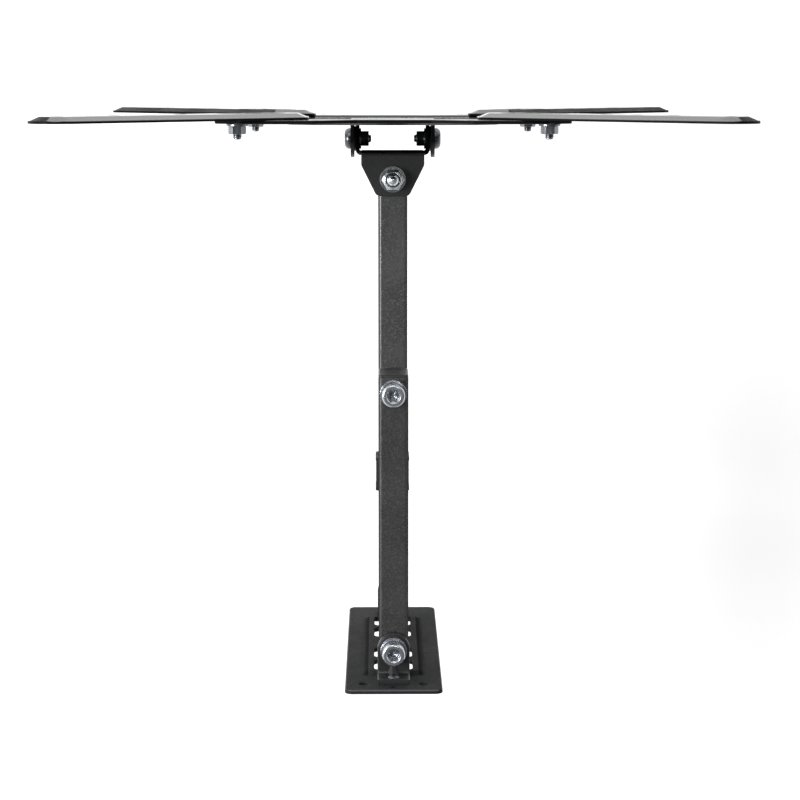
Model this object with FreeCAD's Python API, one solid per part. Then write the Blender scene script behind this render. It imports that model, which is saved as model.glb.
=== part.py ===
"""Full-motion television wall mount: wall plate, twin-rail rear arm, forearm, swivel head, tilting plate.

Millimetres, +Z up. The wall is the plane Y = 0 with the room on the -Y side, and the origin is
at the middle of the wall plate's back. The mount is straight out from the wall, as it is shown.
"""
import FreeCAD
import Part
import math
import os

from FreeCAD import Vector

# Wall plate: one pressed sheet with a raised middle band
PLATE_WIDTH = 65.0
PLATE_SHEET = 3.0
PLATE_CORNER = 5.0
PLATE_EDGE_ROUND = 1.2
PLATE_END_MARGIN = 13.5
BAND_WIDTH = 34.0
BAND_HEIGHT = 146.0
BAND_RISE = 2.5
BAND_SLOPE = 4.0
BAND_CORNER = 7.0
BAND_RIDGE_ROUND = 1.2
BAND_END_GAP = 2.5
SLOT_WIDTH = 8.5
SLOT_LENGTH = 25.0
SLOT_COLUMN_X = 9.0
SLOT_PITCH = 31.0
SLOT_END_MARGIN = 15.0
END_HOLE_DIAMETER = 7.0
END_HOLE_X = 20.0
END_HOLE_MARGIN = 14.0
CENTRE_HOLE_DIAMETER = 4.5
CENTRE_HOLE_MARGIN = 7.0

# Pivot distances, measured along the straight mount
WALL_PIVOT_REACH = 23.0
REAR_ARM_LENGTH = 174.0
FOREARM_LENGTH = 138.5

# Arm tubes
TUBE_WIDTH = 20.0
TUBE_HEIGHT = 36.0
TUBE_WALL = 1.5
TUBE_CORNER = 2.6
TUBE_TAIL = 10.0
CAP_THICKNESS = 2.0
CAP_EDGE_ROUND = 1.2
CAP_PLUG_LENGTH = 2.8

# M8 pivot hardware
PIVOT_DIAMETER = 8.0
RUNNING_CLEARANCE = 0.1
FIT_CLEARANCE = 0.05
BOLT_HOLE_CLEARANCE = 0.2
PIVOT_THREAD_ROOT = 6.7
BOLT_HEAD_DIAMETER = 15.2
BOLT_HEAD_HEIGHT = 9.5
BOLT_HEAD_ROUND = 1.4
SOCKET_FLATS = 7.6
SOCKET_DEPTH = 5.0
SOCKET_BEVEL = 0.9
BOLT_PROTRUSION = 2.5
BOLT_TIP_CHAMFER = 0.6
NUT_FLATS = 13.5
NUT_CHAMFER_ANGLE = 30.0
NUT_HEX_HEIGHT = 6.2
NUT_COLLAR_HEIGHT = 1.8
NUT_COLLAR_WALL = 1.1
NUT_RING_DIAMETER = 9.8
NUT_RING_HEIGHT = 2.0
WASHER_DIAMETER = 17.6
WASHER_THICKNESS = 1.6
FRICTION_WASHER_DIAMETER = 20.0
FRICTION_WASHER_THICKNESS = 1.5
DISC_SPRING_THICKNESS = 1.1
DISC_SPRING_CONE = 0.8
BUSH_DIAMETER = 12.0
BUSH_LENGTH = 8.0
BUSH_FLANGE_DIAMETER = 18.0
BUSH_FLANGE_THICKNESS = 1.5
SPACER_DIAMETER = 15.0

# Wall pivot brackets
BRACKET_WIDTH = 21.7
BRACKET_SHEET = 3.0
BRACKET_FOOT_LENGTH = 17.0
BRACKET_BEND_RADIUS = 2.0
BRACKET_EDGE_ROUND = 0.7
BRACKET_RIB_WIDTH = 7.0
BRACKET_RIB_CREST = 2.4
BRACKET_RIB_REACH = 6.4
RIB_TO_RIVET = 0.4
RIVET_DIAMETER = 4.8
RIVET_HEAD_DIAMETER = 8.0
RIVET_HEAD_HEIGHT = 2.0

# Cable clip on the lower rail
CLIP_REACH = 119.5
CLIP_LENGTH = 24.0
CLIP_WALL = 1.8
CLIP_DROP = 27.0
CLIP_RIB = 0.3
CLIP_RIB_LENGTH = 2.2
CLIP_CLEARANCE = 0.1
CLIP_CORNER = 3.0

# Swivel head bracket, one folded sheet
HEAD_SHEET = 2.5
HEAD_BEND_RADIUS = 1.0
HEAD_EAR_WIDTH = 43.0
HEAD_EAR_NOSE_WIDTH = 22.0
HEAD_EAR_NOSE_LENGTH = 11.5
HEAD_EAR_STRAIGHT = 9.0
HEAD_EAR_CORNER = 4.5
HEAD_EDGE_ROUND = 0.6
HEAD_WEB_GAP = 16.0
HEAD_NOTCH_WIDTH = 15.5
HEAD_NOTCH_DEPTH = 1.2
TAB_HALF_HEIGHT = 9.5
TAB_INNER_X = 22.8

# Tilt hinge, M6
TILT_AXIS_OFFSET = 27.0
TILT_BOLT_DIAMETER = 6.0
SMALL_THREAD_ROOT = 4.9
TILT_HEAD_DIAMETER = 14.4
TILT_HEAD_HEIGHT = 4.2
TILT_HEAD_ROUND = 3.4
TILT_SOCKET_FLATS = 4.0
TILT_SOCKET_DEPTH = 2.2
TILT_BOLT_PROTRUSION = 1.7
TILT_FRICTION_DIAMETER = 17.0
TILT_FRICTION_THICKNESS = 1.0
TILT_EAR_RADIUS = 13.0

# Television plate, one pressed sheet with its two tilt ears bent back
TV_SHEET = 2.5
TV_BACK_OFFSET = 12.0
TV_SIDE_MARGIN = 15.0
TV_END_MARGIN = 11.0
TV_MIDDLE_HALF_HEIGHT = 90.0
TV_MIDDLE_FLAT = 26.0
TV_SHOULDER_X = 50.0
TV_OUTER_CHAMFER = 17.0
TV_NOTCH_X = 89.0
TV_NOTCH_HALF_HEIGHT = 17.0
TV_NOTCH_MOUTH = 46.0
TV_CORNER = 4.0
TV_SHOULDER_CORNER = 8.0
TV_EDGE_ROUND = 0.6
TV_PRESS_HALF_WIDTH = 72.0
TV_PRESS_HALF_HEIGHT = 70.0
TV_PRESS_CHAMFER = 16.0
TV_PRESS_DEPTH = 1.5
TV_PRESS_SLOPE = 2.5
TV_PRESS_CORNER = 8.0
WINDOW_OUTER_X = 61.0
WINDOW_HALF_HEIGHT = 35.0
WINDOW_CORNER = 3.0
SCREEN_HOLE_DIAMETER = 5.2
SCREEN_HOLE_NEAR = 50.0
SCREEN_HOLE_FAR = 100.0

# Four pressed arms that carry the screen
ARM_ANGLE = 45.0
ARM_SHEET = 1.8
ARM_EDGE_ROUND = 0.6
ARM_RISE = 2.4
ARM_RIDGE_ROUND = 3.0
ARM_LIP = 1.4
ARM_SLOPE = 5.6
ARM_INNER_END = 78.0
ARM_INNER_HALF_WIDTH = 22.0
ARM_INNER_CORNER = 9.0
ARM_OUTER_HALF_WIDTH = 16.5
ARM_TIP_MARGIN = 16.5
ARM_TIP_FLAT = 0.5
ARM_SLOT_LENGTH = 24.0
ARM_SLOT_WIDTH = 6.8
DISH_RADIUS = 10.2
DISH_SLOPE = 3.4
PATTERN_FIRST = 266.0
PATTERN_SECOND = 300.0
PATTERN_THIRD = 340.0
PATTERN_TIP = 400.0
ARM_HOLE_DIAMETER = 8.4

# M6 hardware that holds the arms
ARM_BOLT_DIAMETER = 6.0
ARM_BOLT_HEAD_DIAMETER = 13.0
ARM_BOLT_HEAD_HEIGHT = 2.2
ARM_BOLT_HEAD_ROUND = 1.3
ARM_BOLT_SOCKET_FLATS = 4.0
ARM_BOLT_SOCKET_DEPTH = 1.4
ARM_WASHER_DIAMETER = 14.0
ARM_WASHER_THICKNESS = 1.2
SMALL_NUT_FLATS = 10.0
SMALL_NUT_HEIGHT = 5.2
ARM_BOLT_PROTRUSION = 3.4

# Places that follow from the sizes above
ELBOW_REACH = WALL_PIVOT_REACH + REAR_ARM_LENGTH
HEAD_REACH = ELBOW_REACH + FOREARM_LENGTH
TILT_REACH = HEAD_REACH + TILT_AXIS_OFFSET
TV_BACK_REACH = TILT_REACH + TV_BACK_OFFSET
TV_FRONT_REACH = TV_BACK_REACH + TV_SHEET
BRACKET_EAR_Z = BAND_HEIGHT / 2 + BAND_SLOPE + BAND_END_GAP
PLATE_HALF_HEIGHT = BRACKET_EAR_Z + BRACKET_FOOT_LENGTH + PLATE_END_MARGIN
SLOT_OUTER_Z = BAND_HEIGHT / 2 - SLOT_END_MARGIN
SLOT_INNER_Z = SLOT_OUTER_Z - SLOT_PITCH
RAIL_OUTER_Z = BRACKET_EAR_Z - BUSH_FLANGE_THICKNESS
RAIL_INNER_Z = RAIL_OUTER_Z - TUBE_HEIGHT
RAIL_MIDDLE_Z = RAIL_OUTER_Z - TUBE_HEIGHT / 2
HEAD_EAR_Z = TUBE_HEIGHT / 2 + BUSH_FLANGE_THICKNESS
PIVOT_HOLE = PIVOT_DIAMETER + 2 * BOLT_HOLE_CLEARANCE
PIVOT_BORE = PIVOT_DIAMETER + 2 * RUNNING_CLEARANCE
NUT_HEIGHT = NUT_HEX_HEIGHT + NUT_COLLAR_HEIGHT
TAB_OUTER_X = TAB_INNER_X + HEAD_SHEET
TILT_EAR_INNER_X = TAB_OUTER_X + TILT_FRICTION_THICKNESS
TILT_EAR_OUTER_X = TILT_EAR_INNER_X + TV_SHEET
ARM_BOLT_PLACE = SCREEN_HOLE_FAR * math.sqrt(2)
ARM_OUTER_END = PATTERN_TIP / math.sqrt(2) + ARM_TIP_MARGIN
TV_HALF_WIDTH = SCREEN_HOLE_FAR + TV_SIDE_MARGIN
TV_HALF_HEIGHT = SCREEN_HOLE_FAR + TV_END_MARGIN

X_AXIS = Vector(1, 0, 0)
Y_AXIS = Vector(0, 1, 0)
Z_AXIS = Vector(0, 0, 1)
OUTWARD = Vector(0, -1, 0)
HEX_SIDES = 6
SAME_PLACE = 1e-4


def on_wall(reach):
    """Places a drawing (x, z) on a plane parallel to the wall, reach away from it."""
    return lambda p, q: Vector(p, -reach, q)


def seen_from_above(height):
    """Places a drawing (x, reach) on a level plane."""
    return lambda p, q: Vector(p, -q, height)


def seen_from_side(x):
    """Places a drawing (reach, z) on a plane across the arm."""
    return lambda p, q: Vector(x, -p, q)


def outline(corners, place):
    """A closed wire through corners (p, q, radius), each rounded by its radius."""
    runs = []
    for index, (p, q, radius) in enumerate(corners):
        corner = Vector(p, q, 0)
        before = Vector(*corners[index - 1][:2], 0) - corner
        after = Vector(*corners[(index + 1) % len(corners)][:2], 0) - corner
        before.normalize()
        after.normalize()
        half = before.getAngle(after) / 2
        bisector = before + after
        if radius == 0 or bisector.Length < SAME_PLACE:
            runs.append([corner])
            continue
        bisector.normalize()
        setback = radius / math.tan(half)
        crown = corner + bisector * (radius / math.sin(half) - radius)
        runs.append([corner + before * setback, crown, corner + after * setback])
    edges = []
    for index, run in enumerate(runs):
        spots = [place(point.x, point.y) for point in run]
        next_point = runs[(index + 1) % len(runs)][0]
        next_spot = place(next_point.x, next_point.y)
        if len(spots) == 3:
            edges.append(Part.Arc(*spots).toShape())
        if spots[-1].distanceToPoint(next_spot) > SAME_PLACE:
            edges.append(Part.LineSegment(spots[-1], next_spot).toShape())
    return Part.Wire(edges)


def inset(corners, amount):
    """The same outline moved inwards by amount, with its corner radii reduced to match."""
    area = sum(a[0] * b[1] - b[0] * a[1] for a, b in zip(corners, corners[1:] + corners[:1]))
    turn = 1 if area > 0 else -1
    moved = []
    for index, (p, q, radius) in enumerate(corners):
        corner = Vector(p, q, 0)
        arriving = corner - Vector(*corners[index - 1][:2], 0)
        leaving = Vector(*corners[(index + 1) % len(corners)][:2], 0) - corner
        arriving.normalize()
        leaving.normalize()
        in_first = Vector(-arriving.y, arriving.x, 0) * turn
        in_second = Vector(-leaving.y, leaving.x, 0) * turn
        middle = in_first + in_second
        shift = middle * (2 * amount / middle.dot(middle))
        convex = (arriving.x * leaving.y - arriving.y * leaving.x) * turn > 0
        new_radius = radius - amount if convex else radius + amount
        moved.append((p + shift.x, q + shift.y, max(new_radius, 0) if radius else 0))
    return moved


def prism(corners, place, along):
    """A flat outline pushed along a vector."""
    return Part.Face(outline(corners, place)).extrude(along)


def sloped_block(corners, slope, place_from, place_to):
    """A solid whose outline narrows by slope between two parallel planes."""
    wires = [outline(corners, place_from), outline(inset(corners, slope), place_to)]
    return Part.makeLoft(wires, True, True)


def rectangle(half_p, half_q, radius, middle_p=0.0, middle_q=0.0):
    """The corners of a rounded rectangle."""
    signs = ((-1, -1), (1, -1), (1, 1), (-1, 1))
    return [(middle_p + sp * half_p, middle_q + sq * half_q, radius) for sp, sq in signs]


def obround(p, q, length, width, along_q=True):
    """The corners of a slot with round ends, length overall."""
    half_p, half_q = (width / 2, length / 2) if along_q else (length / 2, width / 2)
    return rectangle(half_p, half_q, width / 2, p, q)


def rod(diameter, start, axis, length):
    """A round bar from a point along an axis."""
    return Part.makeCylinder(diameter / 2, length, start, axis)


def ring(outer, inner, start, axis, length):
    """A round bar with a hole through it."""
    return rod(outer, start, axis, length).cut(rod(inner, start, axis, length))


def hexagon(flats, start, axis, length):
    """A six-sided bar with the given width across flats."""
    radius = flats / math.sqrt(3)
    turns = [2 * math.pi * k / HEX_SIDES for k in range(HEX_SIDES)]
    points = [Vector(radius * math.cos(turn), radius * math.sin(turn), 0) for turn in turns]
    bar = Part.Face(Part.makePolygon(points + points[:1])).extrude(Vector(0, 0, length))
    bar.Placement = FreeCAD.Placement(start, FreeCAD.Rotation(Z_AXIS, axis))
    return bar


def turned(profile, start, axis):
    """A solid turned from a closed profile of (radius, height), standing on start along axis."""
    points = [Vector(radius, 0, height) for radius, height in profile]
    face = Part.Face(Part.makePolygon(points + points[:1]))
    solid = face.revolve(Vector(0, 0, 0), Z_AXIS, 360)
    solid.Placement = FreeCAD.Placement(start, FreeCAD.Rotation(Z_AXIS, axis))
    return solid


def fuse_all(shapes):
    """One solid from several that touch or overlap, with seams removed."""
    whole = shapes[0].multiFuse(shapes[1:]) if len(shapes) > 1 else shapes[0]
    return whole.removeSplitter()


def group(shapes):
    """Separate like pieces kept together."""
    return Part.makeCompound(shapes)


def edges_where(shape, test):
    """The edges whose every end and middle passes a test."""
    chosen = []
    for edge in shape.Edges:
        low, high = edge.ParameterRange
        spots = [edge.valueAt(low), edge.valueAt((low + high) / 2), edge.valueAt(high)]
        if all(test(spot) for spot in spots):
            chosen.append(edge)
    return chosen


def close_to(value, target):
    """True where two places are the same within rounding."""
    return abs(value - target) < SAME_PLACE


def rounded_at(shape, reach, radius):
    """The piece with its edges rounded where they lie on a plane parallel to the wall."""
    return shape.makeFillet(radius, edges_where(shape, lambda spot: close_to(spot.y, -reach)))


def mirrored_z(shape):
    """The same piece the other way up."""
    return shape.mirror(Vector(0, 0, 0), Z_AXIS)


def mirrored_x(shape):
    """The opposite-hand piece."""
    return shape.mirror(Vector(0, 0, 0), X_AXIS)


def bolt(diameter, root, head_diameter, head_height, head_round, socket_flats, socket_depth, seat, axis, grip,
         tip):
    """A socket bolt with its head on seat, pointing along axis: its grip, then a tip at the thread's root."""
    back = axis * -1
    head = rod(head_diameter, seat, back, head_height)
    crown = seat + back * head_height
    rim = edges_where(head, lambda spot: close_to((spot - crown).dot(axis), 0))
    head = head.makeFillet(head_round, rim)
    shank = rod(diameter, seat, axis, grip)
    threaded = rod(root, seat, axis, grip + tip)
    point = seat + axis * (grip + tip)
    end = edges_where(threaded, lambda spot: close_to((spot - point).dot(axis), 0))
    threaded = threaded.makeChamfer(BOLT_TIP_CHAMFER, end)
    socket = hexagon(socket_flats, crown + axis * socket_depth, back, socket_depth)
    mouth = socket_flats / math.sqrt(3) + SOCKET_BEVEL / 2
    bevel = Part.makeCone(mouth, mouth - SOCKET_BEVEL, SOCKET_BEVEL, crown, axis)
    return fuse_all([head, shank, threaded]).cut([socket, bevel])


def pivot_bolt(seat, axis, grip):
    """The M8 socket bolt of a main pivot, reaching just past its nut."""
    return bolt(PIVOT_DIAMETER, PIVOT_THREAD_ROOT, BOLT_HEAD_DIAMETER, BOLT_HEAD_HEIGHT, BOLT_HEAD_ROUND,
                SOCKET_FLATS, SOCKET_DEPTH, seat, axis, grip + NUT_HEIGHT, BOLT_PROTRUSION)


def rounded_hexagon(flats, start, axis, length, chamfered_ends):
    """A nut blank: a six-sided bar with its corners turned down to a cone at the ends named."""
    corner = flats / math.sqrt(3)
    drop = (corner - flats / 2) * math.tan(math.radians(NUT_CHAMFER_ANGLE))
    low = drop if "seat" in chamfered_ends else 0.0
    high = drop if "crown" in chamfered_ends else 0.0
    profile = [(0, 0), (flats / 2 if low else corner, 0), (corner, low), (corner, length - high),
               (flats / 2 if high else corner, length), (0, length)]
    clean = [spot for index, spot in enumerate(profile) if spot != profile[index - 1]]
    return hexagon(flats, start, axis, length).common(turned(clean, start, axis))


def lock_nut(seat, axis):
    """A lock nut on seat, with the collar that holds its nylon ring facing away from the seat."""
    base = rounded_hexagon(NUT_FLATS, seat, axis, NUT_HEX_HEIGHT, ("seat", "crown"))
    top = seat + axis * NUT_HEX_HEIGHT
    collar = rod(NUT_RING_DIAMETER + 2 * NUT_COLLAR_WALL, top, axis, NUT_COLLAR_HEIGHT)
    ring_seat = seat + axis * (NUT_HEIGHT - NUT_RING_HEIGHT)
    bore = rod(PIVOT_DIAMETER + 2 * FIT_CLEARANCE, seat, axis, NUT_HEIGHT)
    pocket = rod(NUT_RING_DIAMETER, ring_seat, axis, NUT_RING_HEIGHT)
    return fuse_all([base, collar]).cut(bore).cut(pocket)


def lock_ring(seat, axis):
    """The nylon ring that grips the bolt inside a lock nut's collar."""
    ring_seat = seat + axis * (NUT_HEIGHT - NUT_RING_HEIGHT)
    return ring(NUT_RING_DIAMETER - 2 * FIT_CLEARANCE, PIVOT_DIAMETER + 2 * FIT_CLEARANCE,
                ring_seat, axis, NUT_RING_HEIGHT)


def washer(seat, axis, diameter=WASHER_DIAMETER, thickness=WASHER_THICKNESS, hole=PIVOT_HOLE):
    """A flat washer standing on seat."""
    return ring(diameter, hole, seat, axis, thickness)


def flanged_bush(seat, axis):
    """A nylon bush whose flange stands on seat and whose barrel goes back through the tube wall."""
    flange = rod(BUSH_FLANGE_DIAMETER, seat, axis, BUSH_FLANGE_THICKNESS)
    barrel = rod(BUSH_DIAMETER - 2 * FIT_CLEARANCE, seat, axis * -1, BUSH_LENGTH)
    through = rod(PIVOT_BORE, seat - axis * BUSH_LENGTH, axis, BUSH_LENGTH + BUSH_FLANGE_THICKNESS)
    return fuse_all([flange, barrel]).cut(through)


def disc_spring(seat, axis):
    """A coned spring washer, wide rim down on seat."""
    inner = PIVOT_HOLE / 2
    outer = WASHER_DIAMETER / 2
    profile = [(outer, 0), (outer, DISC_SPRING_THICKNESS), (inner, DISC_SPRING_THICKNESS + DISC_SPRING_CONE),
               (inner, DISC_SPRING_CONE)]
    return turned(profile, seat, axis)


def above_pivot(reach, height):
    """The point on a vertical pivot axis at a given height."""
    return Vector(0, -reach, height)


def wall_plate():
    """The pressed wall plate: raised band, eight stud slots, two upper corner holes and two centre holes."""
    edge = rectangle(PLATE_WIDTH / 2, PLATE_HALF_HEIGHT, PLATE_CORNER)
    sheet = prism(edge, on_wall(0), OUTWARD * PLATE_SHEET)
    sheet = rounded_at(sheet, PLATE_SHEET, PLATE_EDGE_ROUND)
    foot = rectangle(BAND_WIDTH / 2 + BAND_SLOPE, BAND_HEIGHT / 2 + BAND_SLOPE, BAND_CORNER)
    raised = sloped_block(foot, BAND_SLOPE, on_wall(PLATE_SHEET), on_wall(PLATE_SHEET + BAND_RISE))
    raised = rounded_at(raised, PLATE_SHEET + BAND_RISE, BAND_RIDGE_ROUND)
    hollow = sloped_block(foot, BAND_SLOPE, on_wall(0), on_wall(BAND_RISE))
    cuts = [hollow]
    depth = OUTWARD * (PLATE_SHEET + BAND_RISE)
    for column in (-1, 1):
        for row in (-SLOT_OUTER_Z, -SLOT_INNER_Z, SLOT_INNER_Z, SLOT_OUTER_Z):
            slot = obround(column * SLOT_COLUMN_X, row, SLOT_LENGTH, SLOT_WIDTH)
            cuts.append(prism(slot, on_wall(0), depth))
    centre_hole_z = PLATE_HALF_HEIGHT - CENTRE_HOLE_MARGIN
    end_hole_z = PLATE_HALF_HEIGHT - END_HOLE_MARGIN
    for end in (-1, 1):
        cuts.append(rod(CENTRE_HOLE_DIAMETER, Vector(0, 0, end * centre_hole_z), OUTWARD, PLATE_SHEET))
        cuts.append(rod(RIVET_DIAMETER, Vector(0, 0, end * rivet_height()), OUTWARD, PLATE_SHEET))
    for side in (-1, 1):
        spot = Vector(side * END_HOLE_X, 0, end_hole_z)
        cuts.append(rod(END_HOLE_DIAMETER, spot, OUTWARD, PLATE_SHEET))
    return fuse_all([sheet, raised]).cut(cuts)


def rivet_height():
    """The level of the rivet in the middle of the bracket's foot, clear of its bend."""
    bend = BRACKET_SHEET + BRACKET_BEND_RADIUS
    return BRACKET_EAR_Z + bend + (BRACKET_FOOT_LENGTH - bend) / 2


def pivot_bracket():
    """The upper angle bracket: a foot on the wall plate and a round-nosed ear over the rail."""
    base = PLATE_SHEET
    nose = WALL_PIVOT_REACH + BRACKET_WIDTH / 2
    top = BRACKET_EAR_Z + BRACKET_SHEET
    foot_end = BRACKET_EAR_Z + BRACKET_FOOT_LENGTH
    inner = BRACKET_BEND_RADIUS
    section = [(base, BRACKET_EAR_Z, inner + BRACKET_SHEET), (nose, BRACKET_EAR_Z, 0), (nose, top, 0),
               (base + BRACKET_SHEET, top, inner), (base + BRACKET_SHEET, foot_end, 0), (base, foot_end, 0)]
    half = BRACKET_WIDTH / 2
    angle = prism(section, seen_from_side(-half), X_AXIS * BRACKET_WIDTH)
    plan = [(-half, base, 0), (half, base, 0), (half, nose, half), (-half, nose, half)]
    angle = angle.common(prism(plan, seen_from_above(BRACKET_EAR_Z), Z_AXIS * BRACKET_FOOT_LENGTH))
    flat_from = -(base + BRACKET_SHEET + inner) + SAME_PLACE
    ear_rim = edges_where(angle, lambda spot: close_to(spot.z, top) and spot.y < flat_from)
    angle = angle.makeFillet(BRACKET_EDGE_ROUND, ear_rim)
    pivot = rod(PIVOT_HOLE, above_pivot(WALL_PIVOT_REACH, BRACKET_EAR_Z), Z_AXIS, BRACKET_SHEET)
    rivet = rod(RIVET_DIAMETER, Vector(0, -base, rivet_height()), OUTWARD, BRACKET_SHEET)
    return fuse_all([angle, bracket_rib()]).cut([pivot, rivet])


def bracket_rib():
    """The pressed rib that stiffens the bend of the upper bracket, with sloping sides, clear of the rivet."""
    corner_reach = PLATE_SHEET + BRACKET_SHEET
    corner_z = BRACKET_EAR_Z + BRACKET_SHEET
    bury = BRACKET_SHEET / 2
    rise = rivet_height() - RIVET_HEAD_DIAMETER / 2 - RIB_TO_RIVET - corner_z

    def slice_at(x, along_ear, up_foot):
        spots = [(corner_reach - bury, corner_z - bury), (corner_reach + along_ear, corner_z - bury),
                 (corner_reach + along_ear, corner_z), (corner_reach, corner_z + up_foot),
                 (corner_reach - bury, corner_z + up_foot)]
        points = [seen_from_side(x)(p, q) for p, q in spots]
        return Part.makePolygon(points + points[:1])

    low = BRACKET_BEND_RADIUS / 2
    side = BRACKET_RIB_WIDTH / 2
    crest = BRACKET_RIB_CREST / 2
    slices = [slice_at(-side, low, low), slice_at(-crest, BRACKET_RIB_REACH, rise),
              slice_at(crest, BRACKET_RIB_REACH, rise), slice_at(side, low, low)]
    return Part.makeLoft(slices, True, True)


def bracket_rivet():
    """A domed rivet through the upper bracket's foot and the wall plate."""
    seat = PLATE_SHEET + BRACKET_SHEET
    spot = Vector(0, -seat, rivet_height())
    shank = rod(RIVET_DIAMETER - 2 * FIT_CLEARANCE, spot, Y_AXIS, seat)
    half = RIVET_HEAD_DIAMETER / 2
    dome_radius = (half ** 2 + RIVET_HEAD_HEIGHT ** 2) / (2 * RIVET_HEAD_HEIGHT)
    ball = Part.makeSphere(dome_radius, spot + OUTWARD * (RIVET_HEAD_HEIGHT - dome_radius))
    dome = ball.common(rod(RIVET_HEAD_DIAMETER, spot, OUTWARD, RIVET_HEAD_HEIGHT))
    return fuse_all([shank, dome])


def arm_tube(start, end, middle):
    """A straight rectangular tube between two distances from the wall, at a middle height."""
    along = OUTWARD * (end - start)
    outer = rectangle(TUBE_WIDTH / 2, TUBE_HEIGHT / 2, TUBE_CORNER, 0, middle)
    half_bore = TUBE_WIDTH / 2 - TUBE_WALL
    inner = rectangle(half_bore, TUBE_HEIGHT / 2 - TUBE_WALL, TUBE_CORNER - TUBE_WALL, 0, middle)
    return prism(outer, on_wall(start), along).cut(prism(inner, on_wall(start), along))


def tube_hole(diameter, reach, middle):
    """A cutter through both the top and bottom walls of a tube."""
    return rod(diameter, above_pivot(reach, middle - TUBE_HEIGHT / 2), Z_AXIS, TUBE_HEIGHT)


def upper_rail():
    """The upper of the two rear arm tubes: bush holes at the wall end, bolt holes at the elbow."""
    tube = arm_tube(WALL_PIVOT_REACH - TUBE_TAIL, ELBOW_REACH + TUBE_TAIL, RAIL_MIDDLE_Z)
    bush_holes = tube_hole(BUSH_DIAMETER, WALL_PIVOT_REACH, RAIL_MIDDLE_Z)
    bolt_holes = tube_hole(PIVOT_HOLE, ELBOW_REACH, RAIL_MIDDLE_Z)
    return tube.cut([bush_holes, bolt_holes])


def forearm_tube():
    """The forearm tube, with bush holes at both ends."""
    tube = arm_tube(ELBOW_REACH - TUBE_TAIL, HEAD_REACH + TUBE_TAIL, 0)
    return tube.cut([tube_hole(BUSH_DIAMETER, ELBOW_REACH, 0), tube_hole(BUSH_DIAMETER, HEAD_REACH, 0)])


def end_cap(tube_end, direction, middle):
    """A moulded cap over a tube's end, with a short plug inside. direction is +1 away from the wall."""
    facing = OUTWARD * direction
    flange = prism(rectangle(TUBE_WIDTH / 2, TUBE_HEIGHT / 2, TUBE_CORNER, 0, middle), on_wall(tube_end),
                   facing * CAP_THICKNESS)
    flange = rounded_at(flange, tube_end + direction * CAP_THICKNESS, CAP_EDGE_ROUND)
    gap = TUBE_WALL + FIT_CLEARANCE
    plug_corners = rectangle(TUBE_WIDTH / 2 - gap, TUBE_HEIGHT / 2 - gap, TUBE_CORNER - TUBE_WALL, 0, middle)
    plug = prism(plug_corners, on_wall(tube_end), facing * -CAP_PLUG_LENGTH)
    return fuse_all([flange, plug])


def elbow_sleeve():
    """The steel sleeve inside the upper rail that takes the elbow bolt's clamping load."""
    start = above_pivot(ELBOW_REACH, RAIL_INNER_Z + TUBE_WALL)
    return ring(BUSH_DIAMETER, PIVOT_HOLE, start, Z_AXIS, TUBE_HEIGHT - 2 * TUBE_WALL)


def elbow_spacer():
    """The spacer between the upper rail and the forearm's bush."""
    start = above_pivot(ELBOW_REACH, HEAD_EAR_Z)
    return ring(SPACER_DIAMETER, PIVOT_HOLE, start, Z_AXIS, RAIL_INNER_Z - HEAD_EAR_Z)


def wall_pivot_spacer():
    """The long spacer that keeps the two rails apart at the wall pivot."""
    half = RAIL_INNER_Z - BUSH_FLANGE_THICKNESS
    return ring(SPACER_DIAMETER, PIVOT_HOLE, above_pivot(WALL_PIVOT_REACH, -half), Z_AXIS, 2 * half)


def cable_clip():
    """A moulded saddle snapped over the lower rail's inner face, with a thicker rib at each end."""
    inner_half = TUBE_WIDTH / 2 + CLIP_CLEARANCE
    seat = -RAIL_INNER_Z

    def saddle(wall, start, length):
        middle = seat + (wall - CLIP_DROP) / 2
        outer = rectangle(inner_half + wall, (CLIP_DROP + wall) / 2, CLIP_CORNER, 0, middle)
        block = prism(outer, on_wall(start), OUTWARD * length)
        below = seat - CLIP_DROP - wall
        lip = prism(rectangle(inner_half, (seat - below) / 2, 0, 0, (seat + below) / 2), on_wall(start),
                    OUTWARD * length)
        return block.cut(lip)

    start = CLIP_REACH - CLIP_LENGTH / 2
    ribs = [start, start + CLIP_LENGTH - CLIP_RIB_LENGTH]
    pieces = [saddle(CLIP_WALL, start, CLIP_LENGTH)]
    pieces += [saddle(CLIP_WALL + CLIP_RIB, rib, CLIP_RIB_LENGTH) for rib in ribs]
    return fuse_all(pieces)


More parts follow.
